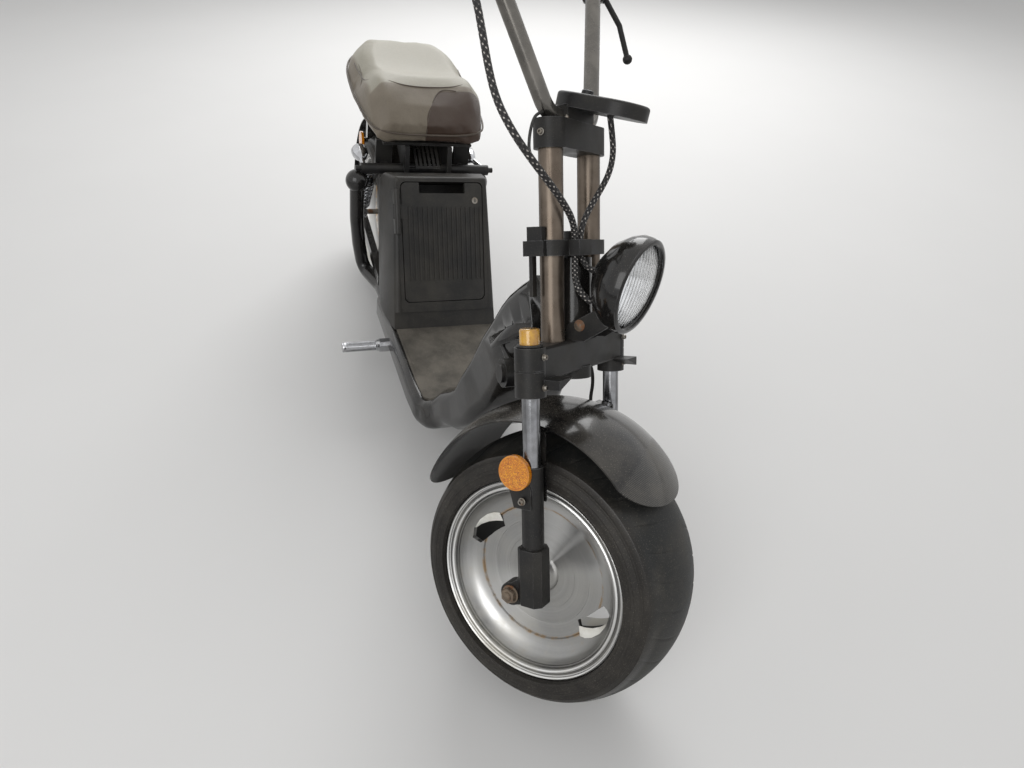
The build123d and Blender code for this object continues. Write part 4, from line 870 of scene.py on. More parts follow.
class Wardrobe:
    """The materials, each built once and handed to every piece that wears it."""

    def __init__(self) -> None:
        """Starts with no material built."""
        self.ready: dict[str, bpy.types.Material] = {}

    def get(self, finish: Any) -> bpy.types.Material:
        """Returns the material of a finish."""
        if finish.name not in self.ready:
            self.ready[finish.name] = finish.make()
        return self.ready[finish.name]

    def dress(self, finish: Any, *nodes: str) -> None:
        """Gives CAD nodes a finish.

        Args:
            finish: the finish.
            nodes: the nodes' names.
        """
        for name in nodes:
            node = FRAME["nodes"][name]
            if node.material_slots:
                for slot in node.material_slots:
                    slot.material = self.get(finish)
            else:
                node.data.materials.append(self.get(finish))
            LOG.info("%s wears %s", name, finish.name)


def upright(graph: Graph, place: Socket) -> tuple[Socket, Socket, Socket]:
    """Returns the coordinates along, across and up the upright vehicle, in millimetres.

    Args:
        graph: the material's graph.
        place: the object's coordinates.

    Returns:
        The three coordinates.
    """
    inputs = {
        "Vector": place, "Location": BODY.to_translation(),
        "Rotation": BODY.to_euler(), "Scale": (MM, MM, MM),
    }
    turned = graph.node("Mapping", inputs, vector_type="TEXTURE").outputs[0]
    along, across, up = graph.node("SeparateXYZ", {0: turned}).outputs
    return along, across, up


@dataclass(frozen=True)
class TurnedRim:
    """Polished alloy, turned on a lathe: fine rings, a painted highlight in two fans and a narrow streak,
    painted highlight rings at the lip with painted shade in the groove, painted shade inside the barrel,
    brown marks, cream dust and a cream veil towards the bottom.
    """

    name: str = "turned alloy"
    joint: str = "front_hub"
    # The lit and the shaded end of the painted highlight.
    bright: Colour = (0.93, 0.93, 0.92)
    shade: Colour = (0.20, 0.20, 0.198)
    # Painted shade inside the barrel's recess.
    painted_recess_shade: Colour = (0.018, 0.017, 0.015)
    # Painted shade in the lip's groove.
    painted_groove_shade: Colour = (0.06, 0.06, 0.06)
    brown_mark: Colour = (0.30, 0.19, 0.09)
    cream: Colour = (0.50, 0.47, 0.39)
    # The turn and the narrowness of the painted highlight streak.
    highlight_turn: float = -1.997
    highlight_streak_power: float = 260.0
    step_radius: float = 0.1182

    def light(self, graph: Graph, polar: Any) -> Socket:
        """Returns the painted highlight on the turned face: two fans and a narrow streak out from the hub.

        Args:
            graph: the material's graph.
            polar: the outputs of the polar group.

        Returns:
            The painted highlight's strength from 0 to 1.
        """
        turn = graph.plus(polar["Turn"], self.highlight_turn)
        fans = graph.maths("COSINE", graph.times(turn, 2.0))
        painted_fan_glow = graph.maths("POWER", graph.ramp(fans, -1.0, 1.0), 3.0)
        sharp = graph.maths("POWER", graph.most(graph.maths("COSINE", turn), 0.0), self.highlight_streak_power)
        near = graph.times(sharp, graph.ramp(polar["Radius"], 0.13, 0.118))
        return graph.most(graph.times(painted_fan_glow, 0.38), near)

    def ringed(self, graph: Graph, radius: Socket, base: Socket) -> Socket:
        """Returns the colour with two painted highlight rings at the lip and painted shade in the groove
        beside them.
        """
        lip = graph.ramp(radius, 0.1655, 0.1675)
        second = graph.times(graph.ramp(radius, 0.1555, 0.1575), graph.ramp(radius, 0.1625, 0.161))
        painted_ring_highlight = graph.most(lip, second)
        dark = graph.times(graph.ramp(radius, 0.151, 0.155), graph.less(1.0, painted_ring_highlight))
        base = graph.tint(graph.times(dark, 0.8), base, self.painted_groove_shade)
        return graph.tint(graph.times(painted_ring_highlight, 0.6), base, self.bright)

    def brown_marked(self, graph: Graph, radius: Socket, place: Socket, base: Socket) -> Socket:
        """Returns the colour with a brown line along the dish's step and blots beside it."""
        spread = graph.noise(place, 26.0, 5.0, 0.65)
        step = graph.maths("ABSOLUTE", graph.less(radius, self.step_radius))
        line = graph.times(graph.ramp(step, 0.004, 0.0006), graph.ramp(spread, 0.42, 0.6))
        band = graph.times(graph.ramp(radius, 0.09, 0.125), graph.ramp(spread, 0.58, 0.75))
        return graph.tint(graph.most(graph.times(line, 0.9), graph.times(band, 0.35)), base, self.brown_mark)

    def make(self) -> bpy.types.Material:
        """Builds the material."""
        paint = Paint(self.name, self.joint)
        graph, place, polar = paint.graph, paint.place, paint.polar()
        radius = polar["Radius"]
        ring = graph.node("CombineXYZ", {"X": radius}).outputs[0]
        fine = graph.noise(ring, 2600.0, 3.0, 0.8)
        broad = graph.noise(ring, 120.0, 4.0, 0.6)
        # Painted highlight: the base runs from the shaded to the lit colour.
        base = graph.tint(graph.between(0.78, broad, self.light(graph, polar)), self.shade, self.bright)
        base = self.brown_marked(graph, radius, place, self.ringed(graph, radius, base))
        # A cream, rougher veil, stronger towards the bottom of the wheel.
        low = graph.ramp(graph.node("SeparateXYZ", {0: paint.spot}).outputs["Z"], 0.26, 0.11)
        veil = graph.times(low, graph.ramp(graph.noise(place, 14.0, 5.0, 0.6), 0.35, 0.7))
        dust_and_bottom_veil = graph.most(paint.dust(0.18, 0.1, 0.2), graph.times(veil, 0.55))
        # Painted shade: the inside of the barrel, between the two faces, darkened and dulled.
        deep = graph.ramp(graph.maths("ABSOLUTE", polar["Height"]), 0.0545, 0.0515)
        deep = graph.times(deep, graph.ramp(radius, 0.040, 0.050))
        base = graph.tint(deep, graph.tint(dust_and_bottom_veil, base, self.cream), self.painted_recess_shade)
        dull = graph.most(dust_and_bottom_veil, deep)
        inputs = {
            "Base Color": base,
            "Roughness": graph.between(dull, graph.between(fine, 0.2, 0.38), 0.75),
            "Metallic": graph.between(dull, 0.95, 0.25),
        }
        return paint.done(inputs, fine, 0.12, 0.0003)


@dataclass(frozen=True)
class TyreRubber:
    """Tyre rubber: a worn blue-black tread with faint cross marks, a brown side and a shiny shoulder."""

    name: str = "tyre rubber"
    joint: str = "front_hub"
    tread: Colour = (0.0125, 0.0135, 0.0135)
    side: Colour = (0.0115, 0.0100, 0.0085)
    dust: Colour = (0.058, 0.053, 0.045)
    tyre_radius: float = 0.2385
    shoulder_radius: float = 0.2165

    def make(self) -> bpy.types.Material:
        """Builds the material."""
        paint = Paint(self.name, self.joint)
        graph, place, polar = paint.graph, paint.place, paint.polar()
        flank = graph.ramp(polar["Radius"], 0.212, 0.222)
        cloud = graph.noise(place, 24.0, 5.0, 0.65)
        grey = graph.times(graph.ramp(cloud, 0.45, 0.75), graph.between(flank, 0.22, 0.35))
        base = graph.tint(grey, graph.tint(flank, self.side, self.tread), self.dust)
        across = graph.node("CombineXYZ", {"X": graph.times(polar["Turn"], self.tyre_radius)}).outputs[0]
        marks = graph.noise(across, 90.0, 2.0, 0.5)
        wipe = graph.times(graph.ramp(marks, 0.6, 0.75), graph.times(flank, 0.3))
        base = graph.tint(paint.dust(0.06, 0.0, 0.3), graph.tint(wipe, base, self.dust), DUST_GREY)
        band = graph.maths("ABSOLUTE", graph.less(polar["Radius"], self.shoulder_radius))
        shoulder = graph.ramp(band, 0.010, 0.002)
        rough = graph.between(shoulder, graph.between(cloud, 0.45, 0.7), 0.3)
        inputs = {"Base Color": base, "Roughness": rough, "Specular IOR Level": 0.3}
        return paint.done(inputs, graph.noise(place, 1300.0, 3.0, 0.7), 0.3)


@dataclass(frozen=True)
class GuardLacquer:
    """Gloss black lacquer with dust on its crown, and a fine hatched weave on both lobes."""

    name: str = "mudguard lacquer"
    joint: str = "front_hub"
    black: Colour = (0.006, 0.006, 0.0065)
    weave_light: Colour = (0.085, 0.082, 0.076)
    front_lobe: tuple[float, float] = (1.86, 1.89)
    rear_lobe: tuple[float, float] = (0.72, 0.66)
    pitch: float = 0.0052
    guard_radius: float = 0.262

    def make(self) -> bpy.types.Material:
        """Builds the material."""
        paint = Paint(self.name, self.joint)
        graph, polar = paint.graph, paint.polar()
        height = polar["Height"]
        skew = graph.plus(polar["Turn"], graph.times(height, 0.9))
        lobe = graph.most(graph.ramp(skew, *self.front_lobe), graph.ramp(skew, *self.rear_lobe))
        arc = graph.times(polar["Turn"], self.guard_radius)
        one, two = (
            graph.maths("SINE", graph.times(line, math.tau / self.pitch))
            for line in (graph.plus(arc, height), graph.less(arc, height))
        )
        mesh = graph.times(graph.ramp(graph.times(one, two), -0.2, 0.7), lobe)
        dust = paint.dust(0.22, 0.9, 0.5)
        inputs = {
            "Base Color": graph.tint(dust, graph.tint(mesh, self.black, self.weave_light), DUST_GREY),
            "Roughness": graph.between(dust, graph.between(lobe, 0.12, 0.3), 0.85),
            "Specular IOR Level": 0.3, "Coat Weight": 0.25, "Coat Roughness": 0.06,
        }
        return paint.done(inputs, mesh, 0.2)


@dataclass(frozen=True)
class HoneycombAmber:
    """Clear amber plastic over a honeycomb of tiny cells, on a black strap where it has one."""

    name: str = "amber honeycomb"
    bright: Colour = (1.0, 0.44, 0.004)
    deep: Colour = (0.78, 0.24, 0.002)
    edge: Colour = (0.42, 0.10, 0.002)
    dust: Colour = (0.45, 0.35, 0.2)
    cell: float = 430.0
    strap_half: float = 0.0
    strap_black: Colour = (0.012, 0.012, 0.012)

    def make(self) -> bpy.types.Material:
        """Builds the material."""
        paint = Paint(self.name)
        graph, place = paint.graph, paint.place
        edge = graph.cells(place, self.cell, "DISTANCE_TO_EDGE")
        tone = graph.cells(place, self.cell, result="Color")
        light = graph.node("SeparateColor", {0: tone}).outputs[0]
        base = graph.tint(graph.ramp(light, 0.1, 0.9), self.deep, self.bright)
        base = graph.tint(graph.ramp(edge, 0.16, 0.04), base, self.edge)
        dust = paint.dust(0.06, 0.5, 0.05)
        base = graph.tint(dust, base, self.dust)
        if self.strap_half:
            across = graph.maths("ABSOLUTE", upright(graph, place)[1])
            strap = graph.ramp(across, self.strap_half + 0.5, self.strap_half)
            base = graph.tint(strap, base, self.strap_black)
        rough = graph.between(dust, 0.16, 0.5)
        inputs = {"Base Color": base, "Roughness": rough, "Coat Weight": 0.8, "Coat Roughness": 0.08}
        return paint.done(inputs, edge, 0.4, 0.0005)


@dataclass(frozen=True)
class Braid:
    """A woven black sleeve with white flecks, drawn along the cord's own map."""

    name: str = "braided sleeve"
    dark: Colour = (0.016, 0.015, 0.015)
    light: Colour = (0.62, 0.58, 0.54)
    across: float = 4.0
    along: float = 90.0

    def make(self) -> bpy.types.Material:
        """Builds the material."""
        paint = Paint(self.name)
        graph = paint.graph
        mapped = graph.node("UVMap", uv_map="UVMap").outputs[0]
        parts = graph.node("SeparateXYZ", {0: mapped}).outputs
        run, turn = graph.times(parts[0], self.along), graph.times(parts[1], self.across)
        one, two = (
            graph.maths("SINE", graph.times(line, math.tau))
            for line in (graph.plus(run, turn), graph.less(run, turn))
        )
        weave = graph.most(one, two)
        fleck = graph.times(graph.ramp(one, 0.45, 0.85), graph.ramp(two, 0.0, 0.5))
        broken = graph.ramp(graph.noise(paint.place, 160.0, 3.0), 0.35, 0.55)
        base = graph.tint(graph.times(fleck, broken), self.dark, self.light)
        inputs = {"Base Color": base, "Roughness": graph.between(weave, 0.75, 0.5)}
        return paint.done(inputs, weave, 0.7, 0.0008)


@dataclass(frozen=True)
class SeatLeather:
    """Worn leather: pebbled grain, soft creases darkened with painted shade, and, where it has zones, a top
    lightened with painted light and a dark panel deepened with painted shade.
    """

    name: str = "taupe leather"
    colour: Colour = (0.200, 0.168, 0.128)
    rubbed: Colour = (0.260, 0.225, 0.175)
    roughness: float = 0.45
    painted_light_zones: bool = False
    # A top lightened with painted light, and the panel's own dark leather deepened with painted shade.
    painted_lit_top_colour: Colour = (0.44, 0.42, 0.345)
    shaded_panel_colour: Colour = (0.052, 0.028, 0.020)
    panel_gloss: float = 0.27
    # Painted shade in the grain's creases.
    crease_shade_colour: Colour = (0.05, 0.04, 0.03)

    def lit_top_and_shaded_panel_masks(self, graph: Graph, place: Socket) -> tuple[Socket, Socket]:
        """Returns the masks of the top lightened with painted light and of the dark panel at the front left,
        whose darkness is partly painted shade.

        Args:
            graph: the material's graph.
            place: the object's coordinates.

        Returns:
            The painted lit top's mask and the shaded panel's mask.
        """
        x, y, z = upright(graph, place)
        side = graph.ramp(graph.maths("ABSOLUTE", y), 150.0, 140.0)
        front = graph.ramp(x, -516.0, -524.0)
        top = graph.times(graph.times(side, front), graph.ramp(z, 630.0, 655.0))
        rise = graph.most(graph.less(z, 610.0), 0.0)
        bend = graph.times(graph.maths("POWER", rise, 2.0), 0.0134)
        over = graph.less(y, graph.plus(bend, -9.0))
        back = graph.plus(x, graph.less(1310.0, graph.times(z, 1.2)))
        shaded_panel = graph.times(graph.ramp(over, -1.0, 1.0), graph.ramp(back, -2.0, 2.0))
        return top, graph.times(shaded_panel, graph.ramp(x, -522.0, -518.0))

    def make(self) -> bpy.types.Material:
        """Builds the material."""
        paint = Paint(self.name)
        graph, place = paint.graph, paint.place
        cloud = graph.noise(place, 9.0, 5.0, 0.6)
        base = graph.tint(graph.ramp(cloud, 0.35, 0.7), self.colour, self.rubbed)
        rough = graph.between(cloud, self.roughness - 0.08, self.roughness + 0.1)
        if self.painted_light_zones:
            # Painted light: the top lightened, and the panel darkened with painted shade.
            top, shaded_panel = self.lit_top_and_shaded_panel_masks(graph, place)
            base = graph.tint(graph.times(top, 0.85), base, self.painted_lit_top_colour)
            base = graph.tint(graph.times(shaded_panel, 0.92), base, self.shaded_panel_colour)
            rough = graph.between(shaded_panel, rough, self.panel_gloss)
        # Painted shade darkens the creases of the grain.
        crease = graph.ramp(graph.cells(place, 520.0, "DISTANCE_TO_EDGE"), 0.0, 0.16)
        base = graph.tint(graph.times(graph.less(1.0, crease), 0.3), base, self.crease_shade_colour)
        inputs = {
            "Base Color": graph.tint(paint.dust(0.12, 0.8, 0.1), base, DUST_GREY),
            "Roughness": rough, "Specular IOR Level": 0.35, "Sheen Weight": 0.05,
        }
        folds = graph.noise(place, 34.0, 4.0, 0.55)
        return paint.done(inputs, graph.plus(crease, graph.times(folds, 1.5)), 0.3, 0.0006)


@dataclass(frozen=True)
class LensGlass:
    """Clear glass, slightly smeared."""

    name: str = "lens glass"
    colour: Colour = (0.98, 0.985, 0.99)

    def make(self) -> bpy.types.Material:
        """Builds the material."""
        paint = Paint(self.name)
        smear = paint.graph.ramp(paint.graph.noise(paint.place, 40.0, 4.0, 0.6), 0.4, 0.9, 0.0, 0.05)
        inputs = {"Base Color": self.colour, "Roughness": smear, "Transmission Weight": 1.0, "IOR": 1.3}
        return paint.done(inputs)


class Head(Enum):
    """How a screw's head looks."""

    HEX = "hexagon"
    SOCKET = "round with a hexagon socket"
    DOME = "low dome"


@dataclass(frozen=True)
class Screw:
    """A screw's head with its washer, standing up along Z."""

    radius: float = 5.0
    head: Head = Head.HEX
    washer: float = 1.35

    def shape(self) -> bmesh.types.BMesh:
        """Returns the head and washer."""
        whole = bmesh.new()
        r, high = self.radius, self.radius * 1.1
        lift = local((0, 0, 1.2))
        Mesh.join(whole, Mesh.stick(r * self.washer, 1.2, 32, 0.3), Matrix())
        if self.head is Head.HEX:
            Mesh.join(whole, Mesh.stick(r, high, 6, r * 0.12), lift)
            Mesh.join(whole, Mesh.stick(r * 0.55, 3.0, 20, 0.4), local((0, 0, high)))
        elif self.head is Head.SOCKET:
            profile = [(r * 0.5, high - 1.5), (r * 0.52, high), (r * 0.9, high), (r, high - 0.6), (r, 0)]
            Mesh.join(whole, Mesh.lathe(profile, 28), lift)
            Mesh.join(whole, Mesh.stick(r * 0.52, high - 1.8, 6), local((0, 0, 0.4)))
        else:
            profile = [(0, r * 0.55), (r * 0.5, r * 0.48), (r * 0.85, r * 0.26), (r, 0)]
            Mesh.join(whole, Mesh.lathe(profile, 24), lift)
        return whole


def applied(made: bpy.types.Object, kind: str, **settings: Any) -> None:
    """Adds a modifier to an object and applies it at once."""
    modifier = made.modifiers.new(kind.lower(), kind)
    for key, value in settings.items():
        setattr(modifier, key, value)
    with bpy.context.temp_override(object=made, active_object=made, selected_objects=[made]):
        bpy.ops.object.modifier_apply(modifier=modifier.name)


@dataclass(frozen=True)
class Smoothed:
    """A pressed or spun CAD shell, handed on with its facets shaded as one skin."""

    node: str
    body: str
    slot: str
    sharp: float = 32.0

    def build(self, material: bpy.types.Material) -> bpy.types.Object:
        """Copies the node's mesh, merges it and shades it smooth.

        Args:
            material: the finish.

        Returns:
            The piece that stands for the node.
        """
        piece = Piece(self.node + "_skin", self.body, self.slot, (self.node,), self.sharp)
        piece.shape.from_mesh(FRAME["nodes"][self.node].data)
        bmesh.ops.remove_doubles(piece.shape, verts=piece.shape.verts, dist=MERGE)
        return piece.hand_over(material)


@dataclass
class Wheel:
    """A fat tyre on its turned rim, with the small parts round the hub."""

    name: str
    body: str
    frame: Matrix
    joint: str
    # The turn of the rim's painted highlight.
    highlight_turn: float
    two_sided: bool = False
    radius: float = 238.5
    half: float = 107.5
    crown: float = 190.0
    shoulder: float = 35.0
    rib_depth: float = 0.9
    disc_screws: int = 5
    steps: int = 540
    sipe_period: int = 18
    sipe_depth: float = 1.3
    sipe_reach: tuple[float, float] = (24.0, 88.0)
    sipe_lean: float = 0.16
    hole_turns: tuple[float, float] = (-31.0, 149.0)
    vane_reach: float = 0.62
    vane_sink: float = 4.0
    vane_slope: float = 0.32
    screw_circle: float = 46.0

    def section(self) -> Profile:
        """Returns the tyre's half section from the crown's middle to the bead."""
        inner = self.crown - self.shoulder
        end = math.asin((self.half - self.shoulder) / inner)
        middle = self.radius - self.crown
        points = []
        for angle in (end * step / 10 for step in range(11)):
            points.append((middle + self.crown * math.cos(angle), self.crown * math.sin(angle)))
        centre = (middle + inner * math.cos(end), inner * math.sin(end))
        bands = ((0.62, 0.0), (0.66, 1.0), (0.9, 1.0), (0.93, 0.0), (1.0, 0.0), (1.03, 1.0))
        bands += ((1.3, 1.0), (1.33, 0.0), (1.45, 0.0), (1.48, 1.0), (1.72, 1.0), (1.75, 0.0), (1.86, 0.0))
        for angle, depth in bands:
            reach = self.shoulder - self.rib_depth * depth
            points.append((centre[0] + reach * math.cos(angle), centre[1] + reach * math.sin(angle)))
        points += [(174.4, 101.0), (173.9, 96.5), (173.6, 90.0), (162.0, 88.5), (153.5, 86.0)]
        return points

    def cut_sipes(self, shape: bmesh.types.BMesh) -> None:
        """Sinks the curved cuts across the tread, and leans each row of points along them."""
        pitch = math.tau / self.steps
        low, high = self.sipe_reach
        for vert in shape.verts:
            reach = abs(vert.co.z)
            turn = math.atan2(vert.co.y, vert.co.x)
            start = 0 if vert.co.z > 0 else self.sipe_period // 2
            on_cut = round(turn / pitch) % self.sipe_period == start
            radius = vert.co.xy.length
            if on_cut and low < reach < high and radius > 200.0:
                radius -= self.sipe_depth
            lean = self.sipe_lean * (min(reach, self.half) / self.half) ** 2
            turn += lean if vert.co.z > 0 else -lean
            vert.co.xy = Vector((radius * math.cos(turn), radius * math.sin(turn)))

    def tyre(self, wardrobe: Wardrobe) -> None:
        """Builds the tyre over its CAD solid."""
        half = self.section()
        whole = [(r, -y) for r, y in reversed(half)] + half[1:]
        piece = Piece(self.name + "_tyre_dressed", self.body, "tyre_rubber", (self.name + "_tyre",), 30.0)
        shape = Mesh.lathe(whole, self.steps)
        self.cut_sipes(shape)
        piece.add(shape, self.frame @ local(turn=(-90, 0, 0)))
        piece.hand_over(wardrobe.get(TyreRubber(self.name + " tyre rubber", self.joint)))

    def face(self) -> Profile:
        """Returns the rim's outer face from the lip to the hub, as radius and distance outwards."""
        lip = [(152.4, 89.0), (172.6, 89.0), (172.9, 95.0), (172.4, 97.6), (170.4, 98.7), (168.4, 97.4)]
        lip += [(167.4, 94.6), (165.6, 93.6), (163.2, 93.6), (161.8, 95.0), (159.6, 96.0), (157.4, 95.0)]
        dish = [(156.2, 92.2), (153.6, 87.6), (150.4, 80.4), (146.0, 73.4), (140.0, 67.4), (132.0, 63.2)]
        dish += [(125.0, 61.0), (118.9, 60.2), (117.2, 57.2), (92.8, 56.1), (92.2, 55.5), (65.6, 55.5)]
        return lip + dish + [(65.0, 55.0), (40.0, 55.2), (34.6, 56.6)]

    def rim_section(self) -> Profile:
        """Returns the rim's closed section as radius and height, the rider's right side below nought."""
        right = [(r, -y) for r, y in self.face()]
        if self.two_sided:
            hub = [(34.0, -60.0), (33.0, -64.0), (8.1, -64.0), (8.1, 72.0), (34.0, 72.0)]
            return right + hub + self.face()[::-1]
        hub = [(34.0, -58.0), (28.0, -62.0), (8.1, -62.0), (8.1, 72.0), (28.0, 72.0), (34.0, 60.0)]
        under = [(34.0, -46.0), (58.0, -47.0), (115.0, -48.0), (121.0, -51.5), (132.0, -54.0), (141.0, -59.0)]
        barrel = [(146.4, -66.0), (146.4, 85.0), (150.4, 95.0), (173.0, 95.0), (173.0, 89.0), (152.4, 89.0)]
        return right + hub + under + barrel

    @staticmethod
    def at(radius: float, degrees: float) -> Vector:
        """Returns a point of the wheel's plane, whose angle runs from ahead to up."""
        turn = math.radians(degrees)
        return Vector((radius * math.cos(turn), 0.0, radius * math.sin(turn)))

    def hole(self, middle: float) -> bmesh.types.BMesh:
        """Returns the cutter of one fin's opening, in the wheel's frame."""
        corners = [(99.0, -13.0), (102.5, -7.5), (107.5, 0.0), (114.0, 8.5), (121.0, 15.0), (125.5, 17.5)]
        corners += [(133.0, 16.6), (140.0, 15.0), (142.0, 7.0), (140.0, -2.0), (135.0, -10.0), (129.0, -15.5)]
        corners += [(122.5, -19.0), (111.0, -16.6)]
        shape = bmesh.new()
        ring = [shape.verts.new(self.at(r, middle + a) + Vector((0, -99.0, 0))) for r, a in corners]
        shape.faces.new(ring)
        Mesh.thicken(shape, (0, 198.0 if self.two_sided else 56.0, 0))
        bmesh.ops.recalc_face_normals(shape, faces=shape.faces)
        return shape

    def vane(self, middle: float, side: int) -> bmesh.types.BMesh:
        """Returns the bent vane of one fin, hinged on the opening's outer edge and sunk at its free edge."""
        hinge = [(122.5, -18.8), (129.0, -15.2), (135.0, -9.6), (140.0, -1.8), (142.0, 6.0)]
        free = [(99.5, -12.6), (110.0, -6.5), (121.0, -1.0), (132.0, 4.0), (141.0, 8.0)]
        shape = bmesh.new()
        bmesh.ops.create_grid(shape, x_segments=4, y_segments=5, size=0.5)
        for vert in shape.verts:
            slot = round((vert.co.x + 0.5) * 4)
            part = vert.co.y + 0.5
            near, far = (self.at(row[slot][0], row[slot][1] + middle) for row in (hinge, free))
            level = 61.5 + (near.length - 122.0) * self.vane_slope
            vert.co = near.lerp(far, self.vane_reach * part)
            vert.co.y = side * (level - self.vane_sink * part**1.5)
        bmesh.ops.recalc_face_normals(shape, faces=shape.faces)
        bmesh.ops.solidify(shape, geom=shape.faces[:], thickness=1.6)
        return shape

    def rim(self, wardrobe: Wardrobe) -> None:
        """Builds the rim with its dish, lips, openings and bent vanes."""
        finish = wardrobe.get(TurnedRim(self.name + " turned alloy", self.joint, highlight_turn=self.highlight_turn))
        piece = Piece(self.name + "_rim_dressed", self.body, "rim_polished", (self.name + "_rim",), 34.0)
        section = self.rim_section()
        piece.add(Mesh.lathe([*section, section[0]], 180), self.frame @ local(turn=(-90, 0, 0)))
        made = piece.hand_over(finish)
        for middle in self.hole_turns:
            mesh = bpy.data.meshes.new("cutter")
            cutter = self.hole(middle)
            bmesh.ops.transform(cutter, matrix=self.frame, verts=cutter.verts)
            cutter.to_mesh(mesh)
            cutter.free()
            tool = bpy.data.objects.new("cutter", mesh)
            bpy.context.scene.collection.objects.link(tool)
            applied(made, "BOOLEAN", operation="DIFFERENCE", solver="EXACT", object=tool)
            bpy.data.objects.remove(tool)
        vanes = Piece(self.name + "_rim_vanes", self.body, "rim_polished", (), 40.0)
        for middle in self.hole_turns:
            for side in (-1, 1) if self.two_sided else (-1,):
                vanes.add(self.vane(middle, side), self.frame)
        vanes.hand_over(wardrobe.get(LIT_VANE_ALLOY))

    def hub_parts(self, wardrobe: Wardrobe) -> None:
        """Builds the disc's screws and the valve."""
        piece = Piece(self.name + "_wheel_screws", self.body, "plain_steel")
        for step in range(self.disc_screws):
            spot = self.at(self.screw_circle, 360.0 * step / self.disc_screws) + Vector((0, 76.0, 0))
            piece.add(Screw(4.5, Head.SOCKET).shape(), self.frame @ local(spot, (-90, 0, 0)))
        piece.hand_over(wardrobe.get(PLAIN_STEEL))
        spot = self.frame @ local((0, 90, 0)) @ look_along((0, -20, 148), (0, 24, 128))
        profile = [(0, 0), (6.5, 0), (5.0, 5), (3.6, 9), (3.4, 22), (4.2, 23), (4.2, 31), (3.4, 33), (0, 33)]
        valve = Piece(self.name + "_valve", self.body, "grip_rubber").turned(profile, 20, spot)
        valve.hand_over(wardrobe.get(GRIP_RUBBER))

    def build(self, wardrobe: Wardrobe) -> None:
        """Builds the wheel's own pieces and dresses its disc."""
        self.tyre(wardrobe)
        self.rim(wardrobe)
        self.hub_parts(wardrobe)
        wardrobe.dress(DISC_STEEL, self.name + "_disc")


@dataclass
class Headlamp:
    """The round lamp: fluted glass, silver bowl, bulb and its rusty ear screws."""

    lens_radius: float = 68.5
    crown: float = 11.0
    flute: float = 9.0
    flute_depth: float = 0.8

    def lens(self, wardrobe: Wardrobe) -> None:
        """Builds the fluted glass in place of the plain one."""
        shape = bmesh.new()
        bmesh.ops.create_grid(shape, x_segments=96, y_segments=150, size=self.lens_radius + 1.0)
        outside = [v for v in shape.verts if v.co.xy.length > self.lens_radius]
        bmesh.ops.delete(shape, geom=outside, context="VERTS")
        for vert in shape.verts:
            reach = vert.co.xy.length / self.lens_radius
            wave = abs(math.cos(math.pi * vert.co.y / self.flute))
            ledge = 0.15 * abs(math.sin(math.pi * vert.co.x / 23.0))
            dip = self.flute_depth * (1 - wave) * (1 - reach**8)
            vert.co.z = 1.5 + self.crown * (1 - reach**2) - dip - ledge
        piece = Piece("headlamp_fluted_lens", "steering", "lens_glass", ("headlamp_lens",), 60.0)
        bmesh.ops.solidify(shape, geom=shape.faces[:], thickness=2.4)
        piece.add(shape, LAMP_AXIS).hand_over(wardrobe.get(LensGlass()))

    def turned(self, wardrobe: Wardrobe) -> None:
        """Builds the silver bowl and the bulb behind the glass, and the bead round it."""
        bowl = [(8, -54), (20, -51), (34, -44), (48, -33), (58, -20), (64.5, -8), (66.5, -6.5)]
        bowl += [(66.5, -8.5), (59.5, -21.5), (49.5, -34.5), (35, -46), (20, -53.5), (8, -56), (8, -54)]
        bulb = [(0, -18), (4, -19.5), (7, -24), (7.5, -34), (7, -46), (7, -54), (0, -54)]
        bead = [(67.6, 7.0), (69.5, 8.6), (73.5, 8.4), (76.0, 6.4), (76.6, 5.9), (68.0, 5.9), (67.6, 7.0)]
        for name, slot, profile, steps, finish in (
            ("headlamp_bowl", "chrome", bowl, 72, SILVERED),
            ("headlamp_bulb", "lens_glass", bulb, 24, FROSTED),
            ("headlamp_rim_bead", "satin_black", bead, 96, GLOSS_BLACK),
        ):
            Piece(name, "steering", slot).turned(profile, steps, LAMP_AXIS).hand_over(wardrobe.get(finish))

    def ears(self, wardrobe: Wardrobe) -> None:
        """Builds the screws through the lamp's ears."""
        piece = Piece("headlamp_ear_screws", "steering", "plain_steel")
        for place in mirrored(FORK, (70, 42.0, 424), -90):
            piece.add(Screw(8.0, Head.DOME, 1.15).shape(), place)
        piece.hand_over(wardrobe.get(RUSTY_STEEL))

    def build(self, wardrobe: Wardrobe) -> None:
        """Builds the lamp's parts."""
        Smoothed("headlamp_shell", "steering", "satin_black").build(wardrobe.get(GLOSS_BLACK))
        self.lens(wardrobe)
        self.turned(wardrobe)
        self.ears(wardrobe)


@dataclass(frozen=True)
class Cord:
    """One loom, lead or hose, which follows the same points as its solid."""

    name: str
    radius: float
    finish: Any
    route: tuple[Spot, ...]

    def build(self, wardrobe: Wardrobe) -> None:
        """Builds the cord, with its map's length in metres."""
        mesh = Strand(self.radius, FORK).mesh(self.name, self.route)
        length = sum((Vector(b) - Vector(a)).length for a, b in zip(self.route, self.route[1:])) * MM
        if mesh.uv_layers:
            for corner in mesh.uv_layers[0].data:
                corner.uv.x *= length
        mesh.materials.append(wardrobe.get(self.finish))
        settled(bpy.data.objects.new(self.name, mesh), "steering", ("cable_harness",))


